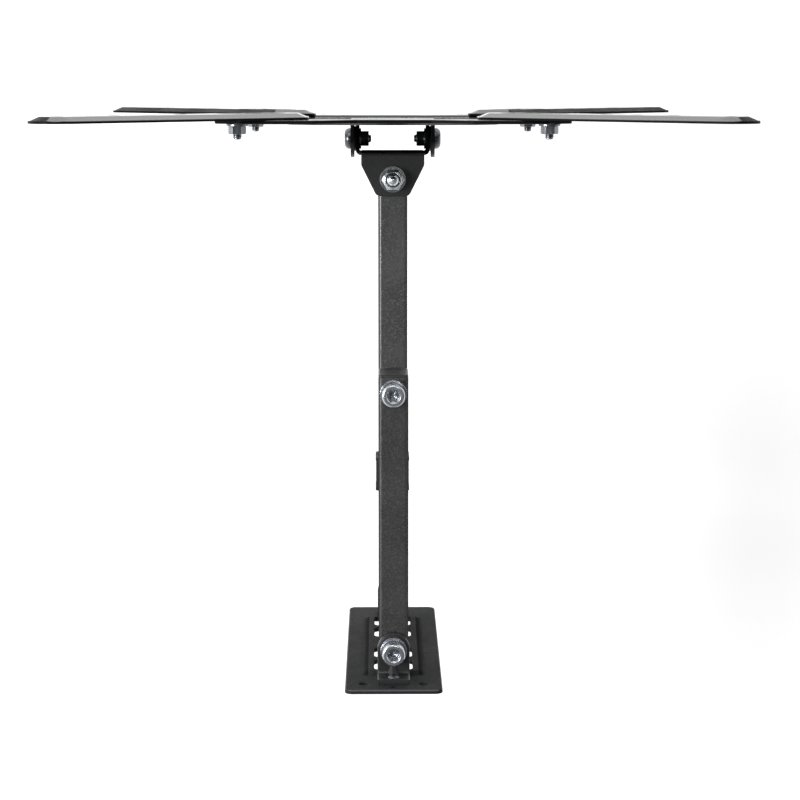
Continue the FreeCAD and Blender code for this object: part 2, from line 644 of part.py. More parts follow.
def head_bracket():
    """The folded swivel head: two tapered ears about the forearm and two tabs for the tilt hinge."""
    web_back = HEAD_REACH + HEAD_WEB_GAP
    web_front = web_back + HEAD_SHEET
    nose = HEAD_REACH - HEAD_EAR_NOSE_LENGTH
    outer_z = HEAD_EAR_Z + HEAD_SHEET
    bend = HEAD_BEND_RADIUS
    half = HEAD_EAR_WIDTH / 2
    outer_bend = bend + HEAD_SHEET
    channel = [(nose, -outer_z, 0), (web_front, -outer_z, outer_bend), (web_front, outer_z, outer_bend),
               (nose, outer_z, 0), (nose, HEAD_EAR_Z, 0), (web_back, HEAD_EAR_Z, bend),
               (web_back, -HEAD_EAR_Z, bend), (nose, -HEAD_EAR_Z, 0)]
    folded = prism(channel, seen_from_side(-half), X_AXIS * HEAD_EAR_WIDTH)
    straight = web_front - HEAD_EAR_STRAIGHT
    nose_half = HEAD_EAR_NOSE_WIDTH / 2
    corner = HEAD_EAR_CORNER
    plan = [(-nose_half, nose, corner), (nose_half, nose, corner), (half, straight, corner),
            (half, web_front, 0), (-half, web_front, 0), (-half, straight, corner)]
    folded = folded.common(prism(plan, seen_from_above(-outer_z), Z_AXIS * (2 * outer_z)))
    flat_to = -(web_front - outer_bend) - SAME_PLACE
    ear_rim = edges_where(folded, lambda spot: close_to(abs(spot.z), outer_z) and spot.y > flat_to)
    folded = folded.makeFillet(HEAD_EDGE_ROUND, ear_rim)
    tilt_end = TILT_REACH + TAB_HALF_HEIGHT
    tabs = [(-TAB_OUTER_X, web_back, outer_bend), (TAB_OUTER_X, web_back, outer_bend),
            (TAB_OUTER_X, tilt_end, 0), (TAB_INNER_X, tilt_end, 0), (TAB_INNER_X, web_front, bend),
            (-TAB_INNER_X, web_front, bend), (-TAB_INNER_X, tilt_end, 0), (-TAB_OUTER_X, tilt_end, 0)]
    cradle = prism(tabs, seen_from_above(-TAB_HALF_HEIGHT), Z_AXIS * (2 * TAB_HALF_HEIGHT))
    side = [(web_back, -TAB_HALF_HEIGHT, 0), (tilt_end, -TAB_HALF_HEIGHT, TAB_HALF_HEIGHT),
            (tilt_end, TAB_HALF_HEIGHT, TAB_HALF_HEIGHT), (web_back, TAB_HALF_HEIGHT, 0)]
    cradle = cradle.common(prism(side, seen_from_side(-TAB_OUTER_X), X_AXIS * (2 * TAB_OUTER_X)))
    notch = prism(rectangle(HEAD_NOTCH_WIDTH / 2, outer_z, 0), on_wall(web_front - HEAD_NOTCH_DEPTH),
                  OUTWARD * HEAD_NOTCH_DEPTH)
    keep = prism(rectangle(HEAD_NOTCH_WIDTH / 2, HEAD_EAR_Z - bend, 0), on_wall(web_front - HEAD_NOTCH_DEPTH),
                 OUTWARD * HEAD_NOTCH_DEPTH)
    pivot = rod(PIVOT_HOLE, above_pivot(HEAD_REACH, -outer_z), Z_AXIS, 2 * outer_z)
    tilt_hole = rod(TILT_BOLT_DIAMETER + 2 * RUNNING_CLEARANCE, Vector(-TAB_OUTER_X, -TILT_REACH, 0), X_AXIS,
                    2 * TAB_OUTER_X)
    return fuse_all([folded, cradle]).cut([notch.cut(keep), pivot, tilt_hole])


def tilt_bolt():
    """The right-hand tilt bolt, head outside the television plate's ear, pointing inwards."""
    seat = Vector(TILT_EAR_OUTER_X, -TILT_REACH, 0)
    grip = TILT_EAR_OUTER_X - TAB_INNER_X + ARM_WASHER_THICKNESS + SMALL_NUT_HEIGHT
    return bolt(TILT_BOLT_DIAMETER, SMALL_THREAD_ROOT, TILT_HEAD_DIAMETER, TILT_HEAD_HEIGHT, TILT_HEAD_ROUND,
                TILT_SOCKET_FLATS, TILT_SOCKET_DEPTH, seat, X_AXIS * -1, grip, TILT_BOLT_PROTRUSION)


def small_nut(seat, axis):
    """A plain M6 nut standing on seat."""
    blank = rounded_hexagon(SMALL_NUT_FLATS, seat, axis, SMALL_NUT_HEIGHT, ("seat", "crown"))
    return blank.cut(rod(ARM_BOLT_DIAMETER + 2 * FIT_CLEARANCE, seat, axis, SMALL_NUT_HEIGHT))


def quartered(quarter):
    """A symmetrical outline from the corners of its first quarter, listed from the Z axis to the X axis."""
    upper_right = list(quarter)
    lower_right = [(p, -q, radius) for p, q, radius in reversed(quarter)]
    right = upper_right + lower_right
    left = [(-p, q, radius) for p, q, radius in reversed(right)]
    return right + left


def tv_plate():
    """The television plate: notched outline, pressed middle, two windows and the tilt ears cut from them."""
    edge = quartered([
        (TV_MIDDLE_FLAT, TV_MIDDLE_HALF_HEIGHT, TV_SHOULDER_CORNER),
        (TV_SHOULDER_X, TV_HALF_HEIGHT, TV_SHOULDER_CORNER),
        (TV_HALF_WIDTH - TV_OUTER_CHAMFER, TV_HALF_HEIGHT, TV_CORNER),
        (TV_HALF_WIDTH, TV_HALF_HEIGHT - TV_OUTER_CHAMFER, TV_CORNER),
        (TV_HALF_WIDTH, TV_NOTCH_MOUTH, TV_CORNER),
        (TV_NOTCH_X, TV_NOTCH_HALF_HEIGHT, TV_CORNER),
    ])
    sheet = prism(edge, on_wall(TV_BACK_REACH), OUTWARD * TV_SHEET)
    for face in (TV_BACK_REACH, TV_FRONT_REACH):
        sheet = rounded_at(sheet, face, TV_EDGE_ROUND)
    press = quartered([
        (TV_PRESS_HALF_WIDTH - TV_PRESS_CHAMFER, TV_PRESS_HALF_HEIGHT, TV_PRESS_CORNER),
        (TV_PRESS_HALF_WIDTH, TV_PRESS_HALF_HEIGHT - TV_PRESS_CHAMFER, TV_PRESS_CORNER),
    ])
    pressed_back = TV_BACK_REACH - TV_PRESS_DEPTH
    pressed = sloped_block(press, TV_PRESS_SLOPE, on_wall(TV_BACK_REACH), on_wall(pressed_back))
    pressed_front = TV_FRONT_REACH - TV_PRESS_DEPTH
    hollow = sloped_block(press, TV_PRESS_SLOPE, on_wall(TV_FRONT_REACH), on_wall(pressed_front))
    through = OUTWARD * (TV_FRONT_REACH - pressed_back)
    window_half = (WINDOW_OUTER_X - TILT_EAR_OUTER_X) / 2
    window_middle = (WINDOW_OUTER_X + TILT_EAR_OUTER_X) / 2
    cuts = [hollow]
    ears = []
    for side in (-1, 1):
        window = rectangle(window_half, WINDOW_HALF_HEIGHT, WINDOW_CORNER, side * window_middle, 0)
        cuts.append(prism(window, on_wall(pressed_back), through))
        ears.append(tilt_ear(side, pressed_back + TV_SHEET / 2))
    for p, q in ((SCREEN_HOLE_NEAR, SCREEN_HOLE_NEAR), (SCREEN_HOLE_NEAR, SCREEN_HOLE_FAR),
                 (SCREEN_HOLE_FAR, SCREEN_HOLE_NEAR)):
        cuts += [rod(SCREEN_HOLE_DIAMETER, spot, OUTWARD, TV_FRONT_REACH) for spot in four_corners(p, q)]
    bolt_hole = ARM_BOLT_DIAMETER + 2 * BOLT_HOLE_CLEARANCE
    bolt_spots = four_corners(SCREEN_HOLE_FAR, SCREEN_HOLE_FAR)
    cuts += [rod(bolt_hole, spot, OUTWARD, TV_FRONT_REACH) for spot in bolt_spots]
    return fuse_all([fuse_all([sheet, pressed]).cut(cuts)] + ears)


def four_corners(p, q):
    """The four points (+-p, 0, +-q) on the wall plane."""
    return [Vector(sp * p, 0, sq * q) for sp in (-1, 1) for sq in (-1, 1)]


def tilt_ear(side, root):
    """One ear bent back from a window's inner edge, with a round end about the tilt axis."""
    half = TILT_EAR_RADIUS
    end = TILT_REACH - half
    shape = [(root, -half, 0), (root, half, 0), (end, half, half), (end, -half, half)]
    inner_x = TILT_EAR_INNER_X if side > 0 else -TILT_EAR_OUTER_X
    ear = prism(shape, seen_from_side(inner_x), X_AXIS * TV_SHEET)
    hole = rod(TILT_BOLT_DIAMETER + 2 * RUNNING_CLEARANCE, Vector(inner_x, -TILT_REACH, 0), X_AXIS, TV_SHEET)
    return ear.cut(hole)


def screen_arm(side_x, side_z):
    """One pressed arm, lying at 45 degrees on the front of the television plate."""
    base = TV_FRONT_REACH
    inner_corner = ARM_INNER_END + ARM_INNER_HALF_WIDTH
    tip_round = ARM_OUTER_HALF_WIDTH - ARM_TIP_FLAT
    shape = [(ARM_INNER_END, 0, ARM_INNER_CORNER), (inner_corner, -ARM_INNER_HALF_WIDTH, ARM_INNER_CORNER),
             (ARM_OUTER_END, -ARM_OUTER_HALF_WIDTH, tip_round),
             (ARM_OUTER_END, ARM_OUTER_HALF_WIDTH, tip_round),
             (inner_corner, ARM_INNER_HALF_WIDTH, ARM_INNER_CORNER)]
    top = base + ARM_SHEET + ARM_RISE
    lip = rounded_at(prism(shape, on_wall(base), OUTWARD * ARM_SHEET), base + ARM_SHEET, ARM_EDGE_ROUND)
    foot = inset(shape, ARM_LIP)
    raised = sloped_block(foot, ARM_SLOPE, on_wall(base + ARM_SHEET), on_wall(top))
    raised = rounded_at(raised, top, ARM_RIDGE_ROUND)
    hollow = sloped_block(foot, ARM_SLOPE, on_wall(base), on_wall(base + ARM_RISE))
    slot_middle = ARM_BOLT_PLACE - ARM_SLOT_LENGTH / 2
    dish_reach = 2 * (DISH_RADIUS + DISH_SLOPE)
    dish = obround(slot_middle, 0, ARM_SLOT_LENGTH + dish_reach, dish_reach, False)
    dish_outside = sloped_block(dish, DISH_SLOPE, on_wall(base + ARM_RISE), on_wall(base))
    dish_inside = sloped_block(dish, DISH_SLOPE, on_wall(top), on_wall(base + ARM_SHEET))
    slot = obround(slot_middle, 0, ARM_SLOT_LENGTH + ARM_SLOT_WIDTH, ARM_SLOT_WIDTH, False)
    cuts = [dish_inside, prism(slot, on_wall(base), OUTWARD * ARM_SHEET)]
    for pattern in (PATTERN_FIRST, PATTERN_SECOND, PATTERN_THIRD, PATTERN_TIP):
        spot = Vector(pattern / math.sqrt(2), -base, 0)
        cuts.append(rod(ARM_HOLE_DIAMETER, spot, OUTWARD, ARM_SHEET + ARM_RISE))
    arm = fuse_all([fuse_all([lip, raised]).cut(hollow), dish_outside]).cut(cuts)
    arm.rotate(Vector(0, 0, 0), Y_AXIS, -ARM_ANGLE)
    if side_x < 0:
        arm = mirrored_x(arm)
    if side_z < 0:
        arm = mirrored_z(arm)
    return arm


def arm_fasteners():
    """The bolts, washers and nuts of the four arms, bolt heads in the dishes and nuts behind the plate."""
    bolts = []
    washers = []
    nuts = []
    grip = ARM_SHEET + TV_SHEET + ARM_WASHER_THICKNESS + SMALL_NUT_HEIGHT
    hole = ARM_BOLT_DIAMETER + 2 * BOLT_HOLE_CLEARANCE
    for spot in four_corners(SCREEN_HOLE_FAR, SCREEN_HOLE_FAR):
        seat = spot + OUTWARD * (TV_FRONT_REACH + ARM_SHEET)
        back = spot + OUTWARD * TV_BACK_REACH
        bolts.append(bolt(ARM_BOLT_DIAMETER, SMALL_THREAD_ROOT, ARM_BOLT_HEAD_DIAMETER, ARM_BOLT_HEAD_HEIGHT,
                          ARM_BOLT_HEAD_ROUND, ARM_BOLT_SOCKET_FLATS, ARM_BOLT_SOCKET_DEPTH, seat, Y_AXIS,
                          grip, ARM_BOLT_PROTRUSION))
        washers.append(washer(back, Y_AXIS, ARM_WASHER_DIAMETER, ARM_WASHER_THICKNESS, hole))
        nuts.append(small_nut(back + Y_AXIS * ARM_WASHER_THICKNESS, Y_AXIS))
    return group(bolts), group(washers), group(nuts)


# Wall pivot stack, from the bracket outwards
UP = Z_AXIS
DOWN = Z_AXIS * -1
EAR_TOP = BRACKET_EAR_Z + BRACKET_SHEET
WALL_WASHER_SEAT = EAR_TOP + FRICTION_WASHER_THICKNESS
WALL_NUT_SEAT = WALL_WASHER_SEAT + WASHER_THICKNESS
SPRING_HEIGHT = DISC_SPRING_THICKNESS + DISC_SPRING_CONE
WALL_BOLT_SEAT = WALL_NUT_SEAT + 2 * SPRING_HEIGHT
wall_nut_seat = above_pivot(WALL_PIVOT_REACH, -WALL_NUT_SEAT)

# Friction washers outside the two ears
upper_friction_washer = washer(above_pivot(WALL_PIVOT_REACH, EAR_TOP), UP, FRICTION_WASHER_DIAMETER,
                               FRICTION_WASHER_THICKNESS)

# Elbow stack
ELBOW_SPRING_SEAT = RAIL_OUTER_Z + WASHER_THICKNESS
ELBOW_BOLT_SEAT = ELBOW_SPRING_SEAT + 2 * SPRING_HEIGHT
elbow_nut_seat = above_pivot(ELBOW_REACH, -ELBOW_SPRING_SEAT)

# Head stack, bolt head below and nut on top
HEAD_WASHER_SEAT = HEAD_EAR_Z + HEAD_SHEET
HEAD_BOLT_SEAT = HEAD_WASHER_SEAT + WASHER_THICKNESS
head_nut_seat = above_pivot(HEAD_REACH, HEAD_BOLT_SEAT)

wall_cap = end_cap(WALL_PIVOT_REACH - TUBE_TAIL, -1, RAIL_MIDDLE_Z)
elbow_cap = end_cap(ELBOW_REACH + TUBE_TAIL, 1, RAIL_MIDDLE_Z)
outer_bush = flanged_bush(above_pivot(WALL_PIVOT_REACH, RAIL_OUTER_Z), UP)
inner_bush = flanged_bush(above_pivot(WALL_PIVOT_REACH, RAIL_INNER_Z), DOWN)
elbow_bush = flanged_bush(above_pivot(ELBOW_REACH, TUBE_HEIGHT / 2), UP)
head_bush = flanged_bush(above_pivot(HEAD_REACH, TUBE_HEIGHT / 2), UP)
arm_bolts, arm_washers, arm_nuts = arm_fasteners()
tilt_washer_seat = Vector(TAB_INNER_X, -TILT_REACH, 0)
tilt_washer = washer(tilt_washer_seat, X_AXIS * -1, ARM_WASHER_DIAMETER, ARM_WASHER_THICKNESS,
                     TILT_BOLT_DIAMETER + 2 * BOLT_HOLE_CLEARANCE)
tilt_nut = small_nut(tilt_washer_seat - X_AXIS * ARM_WASHER_THICKNESS, X_AXIS * -1)
tilt_friction_washer = washer(Vector(TAB_OUTER_X, -TILT_REACH, 0), X_AXIS, TILT_FRICTION_DIAMETER,
                              TILT_FRICTION_THICKNESS, TILT_BOLT_DIAMETER + 2 * BOLT_HOLE_CLEARANCE)

nodes = {
    "wall_plate": wall_plate(),
    "upper_pivot_bracket": pivot_bracket(),
    "lower_pivot_bracket": mirrored_z(pivot_bracket()),
    "bracket_rivets": group([bracket_rivet(), mirrored_z(bracket_rivet())]),
    "wall_pivot_bolt": pivot_bolt(above_pivot(WALL_PIVOT_REACH, WALL_BOLT_SEAT), DOWN,
                                  WALL_BOLT_SEAT + WALL_NUT_SEAT),
    "wall_pivot_friction_washers": group([upper_friction_washer, mirrored_z(upper_friction_washer)]),
    "wall_pivot_washers": group([washer(above_pivot(WALL_PIVOT_REACH, WALL_WASHER_SEAT), UP),
                                 washer(above_pivot(WALL_PIVOT_REACH, -WALL_WASHER_SEAT), DOWN)]),
    "wall_pivot_disc_springs": group([
        disc_spring(above_pivot(WALL_PIVOT_REACH, WALL_NUT_SEAT), UP),
        disc_spring(above_pivot(WALL_PIVOT_REACH, WALL_BOLT_SEAT), DOWN)]),
    "wall_pivot_nut": lock_nut(wall_nut_seat, DOWN),
    "wall_pivot_nut_ring": lock_ring(wall_nut_seat, DOWN),
    "upper_rail": upper_rail(),
    "lower_rail": mirrored_z(upper_rail()),
    "upper_rail_wall_cap": wall_cap,
    "upper_rail_elbow_cap": elbow_cap,
    "lower_rail_wall_cap": mirrored_z(wall_cap),
    "lower_rail_elbow_cap": mirrored_z(elbow_cap),
    "upper_rail_outer_bush": outer_bush,
    "upper_rail_inner_bush": inner_bush,
    "lower_rail_outer_bush": mirrored_z(outer_bush),
    "lower_rail_inner_bush": mirrored_z(inner_bush),
    "wall_pivot_spacer": wall_pivot_spacer(),
    "upper_elbow_sleeve": elbow_sleeve(),
    "lower_elbow_sleeve": mirrored_z(elbow_sleeve()),
    "upper_elbow_spacer": elbow_spacer(),
    "lower_elbow_spacer": mirrored_z(elbow_spacer()),
    "elbow_bolt": pivot_bolt(above_pivot(ELBOW_REACH, ELBOW_BOLT_SEAT), DOWN,
                             ELBOW_BOLT_SEAT + ELBOW_SPRING_SEAT),
    "elbow_washers": group([washer(above_pivot(ELBOW_REACH, RAIL_OUTER_Z), UP),
                            washer(above_pivot(ELBOW_REACH, -RAIL_OUTER_Z), DOWN)]),
    "elbow_disc_springs": group([
        disc_spring(above_pivot(ELBOW_REACH, ELBOW_SPRING_SEAT), UP),
        disc_spring(above_pivot(ELBOW_REACH, ELBOW_BOLT_SEAT), DOWN)]),
    "elbow_nut": lock_nut(elbow_nut_seat, DOWN),
    "elbow_nut_ring": lock_ring(elbow_nut_seat, DOWN),
    "cable_clip": cable_clip(),
    "forearm_tube": forearm_tube(),
    "forearm_elbow_cap": end_cap(ELBOW_REACH - TUBE_TAIL, -1, 0),
    "forearm_head_cap": end_cap(HEAD_REACH + TUBE_TAIL, 1, 0),
    "upper_elbow_bush": elbow_bush,
    "lower_elbow_bush": mirrored_z(elbow_bush),
    "upper_head_bush": head_bush,
    "lower_head_bush": mirrored_z(head_bush),
    "head_bracket": head_bracket(),
    "head_bolt": pivot_bolt(above_pivot(HEAD_REACH, -HEAD_BOLT_SEAT), UP, 2 * HEAD_BOLT_SEAT),
    "head_washers": group([washer(above_pivot(HEAD_REACH, HEAD_WASHER_SEAT), UP),
                           washer(above_pivot(HEAD_REACH, -HEAD_WASHER_SEAT), DOWN)]),
    "head_nut": lock_nut(head_nut_seat, UP),
    "head_nut_ring": lock_ring(head_nut_seat, UP),
    "tv_plate": tv_plate(),
    "upper_left_arm": screen_arm(-1, 1),
    "upper_right_arm": screen_arm(1, 1),
    "lower_left_arm": screen_arm(-1, -1),
    "lower_right_arm": screen_arm(1, -1),
    "arm_bolts": arm_bolts,
    "arm_washers": arm_washers,
    "arm_nuts": arm_nuts,
    "tilt_bolts": group([tilt_bolt(), mirrored_x(tilt_bolt())]),
    "tilt_friction_washers": group([tilt_friction_washer, mirrored_x(tilt_friction_washer)]),
    "tilt_washers": group([tilt_washer, mirrored_x(tilt_washer)]),
    "tilt_nuts": group([tilt_nut, mirrored_x(tilt_nut)]),
}

os.makedirs("parts", exist_ok=True)
for name, shape in nodes.items():
    shape.exportStep(f"parts/{name}.step")
    print(name, len(shape.Solids), round(shape.Volume, 1), shape.isValid())
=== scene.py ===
import bmesh
import bpy
import math
from mathutils import Matrix, Vector


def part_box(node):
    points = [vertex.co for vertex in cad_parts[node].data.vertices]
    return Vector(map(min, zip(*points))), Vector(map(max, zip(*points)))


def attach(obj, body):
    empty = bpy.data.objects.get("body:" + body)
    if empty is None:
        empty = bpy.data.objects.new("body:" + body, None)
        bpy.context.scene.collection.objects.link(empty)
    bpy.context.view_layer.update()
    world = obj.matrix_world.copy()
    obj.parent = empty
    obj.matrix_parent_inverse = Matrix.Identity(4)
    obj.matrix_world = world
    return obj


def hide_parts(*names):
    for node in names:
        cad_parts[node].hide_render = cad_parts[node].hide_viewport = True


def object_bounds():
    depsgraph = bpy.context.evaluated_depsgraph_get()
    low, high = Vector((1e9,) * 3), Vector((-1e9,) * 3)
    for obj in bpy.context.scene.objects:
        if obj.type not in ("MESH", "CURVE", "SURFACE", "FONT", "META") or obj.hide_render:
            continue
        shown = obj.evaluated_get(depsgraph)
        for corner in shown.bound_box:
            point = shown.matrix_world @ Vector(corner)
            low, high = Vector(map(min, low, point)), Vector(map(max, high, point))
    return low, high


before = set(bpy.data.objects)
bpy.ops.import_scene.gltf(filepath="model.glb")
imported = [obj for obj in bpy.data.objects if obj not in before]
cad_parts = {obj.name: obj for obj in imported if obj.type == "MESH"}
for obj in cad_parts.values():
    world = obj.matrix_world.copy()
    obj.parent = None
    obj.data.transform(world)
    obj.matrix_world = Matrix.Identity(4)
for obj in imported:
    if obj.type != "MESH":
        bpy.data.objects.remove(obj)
cad_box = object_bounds()

# Wall plate
# One steel sheet, pressed with a raised band and punched for the wall bolts.
# Satin black powder coat, baked on: a fine pebbled skin, with painted shade on the band's slopes, and paler
# rims that are a painted highlight and partly wear.
EDGE_SAMPLES = 6
NOISE_LOW = 0.30
NOISE_HIGH = 0.70
MIX_FIRST = 6
MIX_SECOND = 7
MIX_RESULT = 2


def place(tree, kind, inputs, **settings):
    """A shader node with its settings made and its inputs set or linked."""
    made = tree.nodes.new(kind)
    for name, value in settings.items():
        setattr(made, name, value)
    for name, value in inputs.items():
        if isinstance(value, bpy.types.NodeSocket):
            tree.links.new(value, made.inputs[name])
        else:
            made.inputs[name].default_value = value
    return made


def math_node(tree, operation, first, second=0.0, third=0.0):
    """The result of one arithmetic step."""
    return place(tree, "ShaderNodeMath", {0: first, 1: second, 2: third}, operation=operation).outputs[0]


def vector_node(tree, operation, first, second=(0.0, 0.0, 0.0), output="Vector"):
    """The result of one step on vectors."""
    return place(tree, "ShaderNodeVectorMath", {0: first, 1: second}, operation=operation).outputs[output]


def spread(tree, value, low, high, to_low=0.0, to_high=1.0):
    """A value eased from one range to another."""
    ranges = {"Value": value, "From Min": low, "From Max": high, "To Min": to_low, "To Max": to_high}
    return place(tree, "ShaderNodeMapRange", ranges, interpolation_type="SMOOTHSTEP").outputs["Result"]


def noise(tree, spot, scale, detail, roughness=0.5):
    """A cloudy pattern."""
    inputs = {"Vector": spot, "Scale": scale, "Detail": detail, "Roughness": roughness}
    return place(tree, "ShaderNodeTexNoise", inputs).outputs["Fac"]


def split(tree, vector):
    """A vector's three parts."""
    return place(tree, "ShaderNodeSeparateXYZ", {"Vector": vector}).outputs


def object_place(tree):
    """The point on the piece, in metres."""
    return tree.nodes.new("ShaderNodeTexCoord").outputs["Object"]


def facing(tree):
    """Which way the surface faces, in the piece's own directions."""
    return tree.nodes.new("ShaderNodeTexCoord").outputs["Normal"]


def effect(name, inputs, outputs):
    """An empty shader node group with its named sockets; an input without a value takes a place."""
    tree = bpy.data.node_groups.new(name, "ShaderNodeTree")
    for label, value in inputs.items():
        if value is None:
            tree.interface.new_socket(label, in_out="INPUT", socket_type="NodeSocketVector")
        else:
            socket = tree.interface.new_socket(label, in_out="INPUT", socket_type="NodeSocketFloat")
            socket.default_value = value
    for label in outputs:
        tree.interface.new_socket(label, in_out="OUTPUT", socket_type="NodeSocketFloat")
    return tree, tree.nodes.new("NodeGroupInput").outputs, tree.nodes.new("NodeGroupOutput").inputs


def edge_wear_and_highlight_effect():
    """Edges: how far a point lies on a rounded rim, broken up as handling rubs it; the paler colour there is
    partly wear and partly a painted highlight.
    """
    tree, given, result = effect("edge_wear_and_highlight", {"Width": 0.0006, "Patchiness": 160.0}, ("Wear And Highlight",))
    rounded = place(tree, "ShaderNodeBevel", {"Radius": given["Width"]}, samples=EDGE_SAMPLES)
    surface = tree.nodes.new("ShaderNodeNewGeometry")
    turned = vector_node(tree, "DOT_PRODUCT", rounded.outputs["Normal"], surface.outputs["Normal"], "Value")
    rim = spread(tree, turned, 0.995, 0.80)
    patches = noise(tree, object_place(tree), given["Patchiness"], detail=4.0, roughness=0.62)
    tree.links.new(math_node(tree, "MULTIPLY", rim, spread(tree, patches, 0.40, 0.66)), result["Wear And Highlight"])
    return tree


def coat_skin_effect():
    """Powder coat: a pebbled skin, the light flecks on it, and slow changes of tone over the sheet."""
    scales = {"Pebble Scale": 900.0, "Fleck Scale": 1500.0, "Tone Scale": 22.0}
    tree, given, result = effect("coat_skin", scales, ("Height", "Fleck", "Tone"))
    spot = object_place(tree)
    pebbles = noise(tree, spot, given["Pebble Scale"], detail=2.0)
    cells = place(tree, "ShaderNodeTexVoronoi", {"Vector": spot, "Scale": given["Fleck Scale"]}, feature="F1")
    flecks = place(tree, "ShaderNodeSeparateColor", {"Color": cells.outputs["Color"]}).outputs["Red"]
    tones = noise(tree, spot, given["Tone Scale"], detail=3.0, roughness=0.55)
    tree.links.new(spread(tree, pebbles, NOISE_LOW, NOISE_HIGH), result["Height"])
    tree.links.new(spread(tree, flecks, 0.55, 1.0), result["Fleck"])
    tree.links.new(spread(tree, tones, NOISE_LOW, NOISE_HIGH), result["Tone"])
    return tree


EDGE_WEAR_AND_HIGHLIGHT = edge_wear_and_highlight_effect()
COAT_SKIN = coat_skin_effect()


def blank_material(name):
    """A material with its Principled shader, ready to be wired."""
    made = bpy.data.materials.new(name)
    made.use_nodes = True
    return made, made.node_tree, made.node_tree.nodes["Principled BSDF"]


def put_group(tree, group, values):
    """A shared effect placed in a material with its own values."""
    return place(tree, "ShaderNodeGroup", values, node_tree=group).outputs


def mixed(tree, share, first, second):
    """Two colours blended by a share."""
    inputs = {"Factor": share}
    for socket, colour in ((MIX_FIRST, first), (MIX_SECOND, second)):
        inputs[socket] = colour if isinstance(colour, bpy.types.NodeSocket) else (*colour, 1.0)
    return place(tree, "ShaderNodeMix", inputs, data_type="RGBA").outputs[MIX_RESULT]


def tinted(colour, gain, lift=0.0):
    """A colour made deeper or paler."""
    return tuple(min(1.0, part * gain + lift) for part in colour)


def rounded_normal(tree, width, height, distance):
    """A surface normal with softened edges and a fine relief on it."""
    rounded = place(tree, "ShaderNodeBevel", {"Radius": width}, samples=EDGE_SAMPLES).outputs["Normal"]
    relief = {"Height": height, "Distance": distance, "Normal": rounded}
    return place(tree, "ShaderNodeBump", relief).outputs["Normal"]


def powder_coat(name, colour, roughness, pebble_height, fleck_share, edge_width=0.0006, shine=0.5):
    """Black powder coat over steel, in one of the mount's shades."""
    made, tree, shader = blank_material(name)
    shader.inputs["Specular IOR Level"].default_value = shine
    skin = put_group(tree, COAT_SKIN, {"Pebble Scale": 850.0, "Fleck Scale": 1400.0, "Tone Scale": 24.0})
    edges = put_group(tree, EDGE_WEAR_AND_HIGHLIGHT, {"Width": edge_width, "Patchiness": 140.0})
    toned = mixed(tree, skin["Tone"], tinted(colour, 0.78), colour)
    fleck = math_node(tree, "MULTIPLY", skin["Fleck"], fleck_share)
    flecked = mixed(tree, fleck, toned, tinted(colour, 2.3, 0.012))
    # Paler on the rims: partly wear, partly a painted highlight.
    wear_and_highlight = math_node(tree, "MULTIPLY", edges["Wear And Highlight"], 0.55)
    tree.links.new(mixed(tree, wear_and_highlight, flecked, tinted(colour, 2.6, 0.02)), shader.inputs["Base Color"])
    uneven = spread(tree, skin["Tone"], 0.0, 1.0, roughness - 0.04, roughness + 0.05)
    flecky = math_node(tree, "MULTIPLY_ADD", skin["Fleck"], -0.07, uneven)
    tree.links.new(math_node(tree, "MULTIPLY_ADD", edges["Wear And Highlight"], -0.10, flecky), shader.inputs["Roughness"])
    tree.links.new(rounded_normal(tree, edge_width, skin["Height"], pebble_height), shader.inputs["Normal"])
    return made


def shade_by(material, mask, colour, roughness, shine=None):
    """Blends a finished material towards another colour, roughness and shine where a mask says."""
    tree = material.node_tree
    sockets = tree.nodes["Principled BSDF"].inputs
    under = sockets["Base Color"].links[0].from_socket
    tree.links.new(mixed(tree, mask, under, colour), sockets["Base Color"])
    smooth = sockets["Roughness"].links[0].from_socket
    tree.links.new(math_node(tree, "MULTIPLY_ADD", mask, roughness, smooth), sockets["Roughness"])
    if shine is not None:
        level = sockets["Specular IOR Level"]
        tree.links.new(spread(tree, mask, 0.0, 1.0, level.default_value, shine), level)


def finish_with(material, *names):
    """Gives CAD pieces their finish."""
    for name in names:
        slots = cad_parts[name].data.materials
        slots.clear()
        slots.append(material)


PLATE_BLACK = (0.018, 0.0184, 0.0190)
plate_coat = powder_coat("plate_powder_coat", PLATE_BLACK, roughness=0.70, pebble_height=0.00008,
                         fleck_share=0.30, edge_width=0.0008, shine=0.12)
plate_tree = plate_coat.node_tree
plate_spot = split(plate_tree, object_place(plate_tree))
from_middle = math_node(plate_tree, "ABSOLUTE", plate_spot["X"])
from_centre = math_node(plate_tree, "ABSOLUTE", plate_spot["Z"])
BAND_HALF_WIDTH = 0.0170
BAND_FOOT = 0.0225
BAND_HALF_HEIGHT = 0.0750
# Near black, duller coat for painted shade: on the band's slopes, the head's web, and the cut edges and outer
# slopes of the screen plate and arms.
PAINTED_SHADE_BLACK = (0.0035, 0.0036, 0.0038)
SHADE_DULLING = 0.30
# Painted shade on the band's slopes, between the ridge and the foot.
past_ridge = spread(plate_tree, from_middle, BAND_HALF_WIDTH - 0.0002, BAND_HALF_WIDTH + 0.0004)
before_foot = spread(plate_tree, from_middle, BAND_FOOT, BAND_HALF_WIDTH + 0.0010)
along_band = spread(plate_tree, from_centre, BAND_HALF_HEIGHT + 0.004, BAND_HALF_HEIGHT - 0.002)
on_slope = math_node(plate_tree, "MULTIPLY", past_ridge, before_foot)
pressed = math_node(plate_tree, "MULTIPLY", along_band, on_slope)
shade_by(plate_coat, pressed, PAINTED_SHADE_BLACK, SHADE_DULLING)
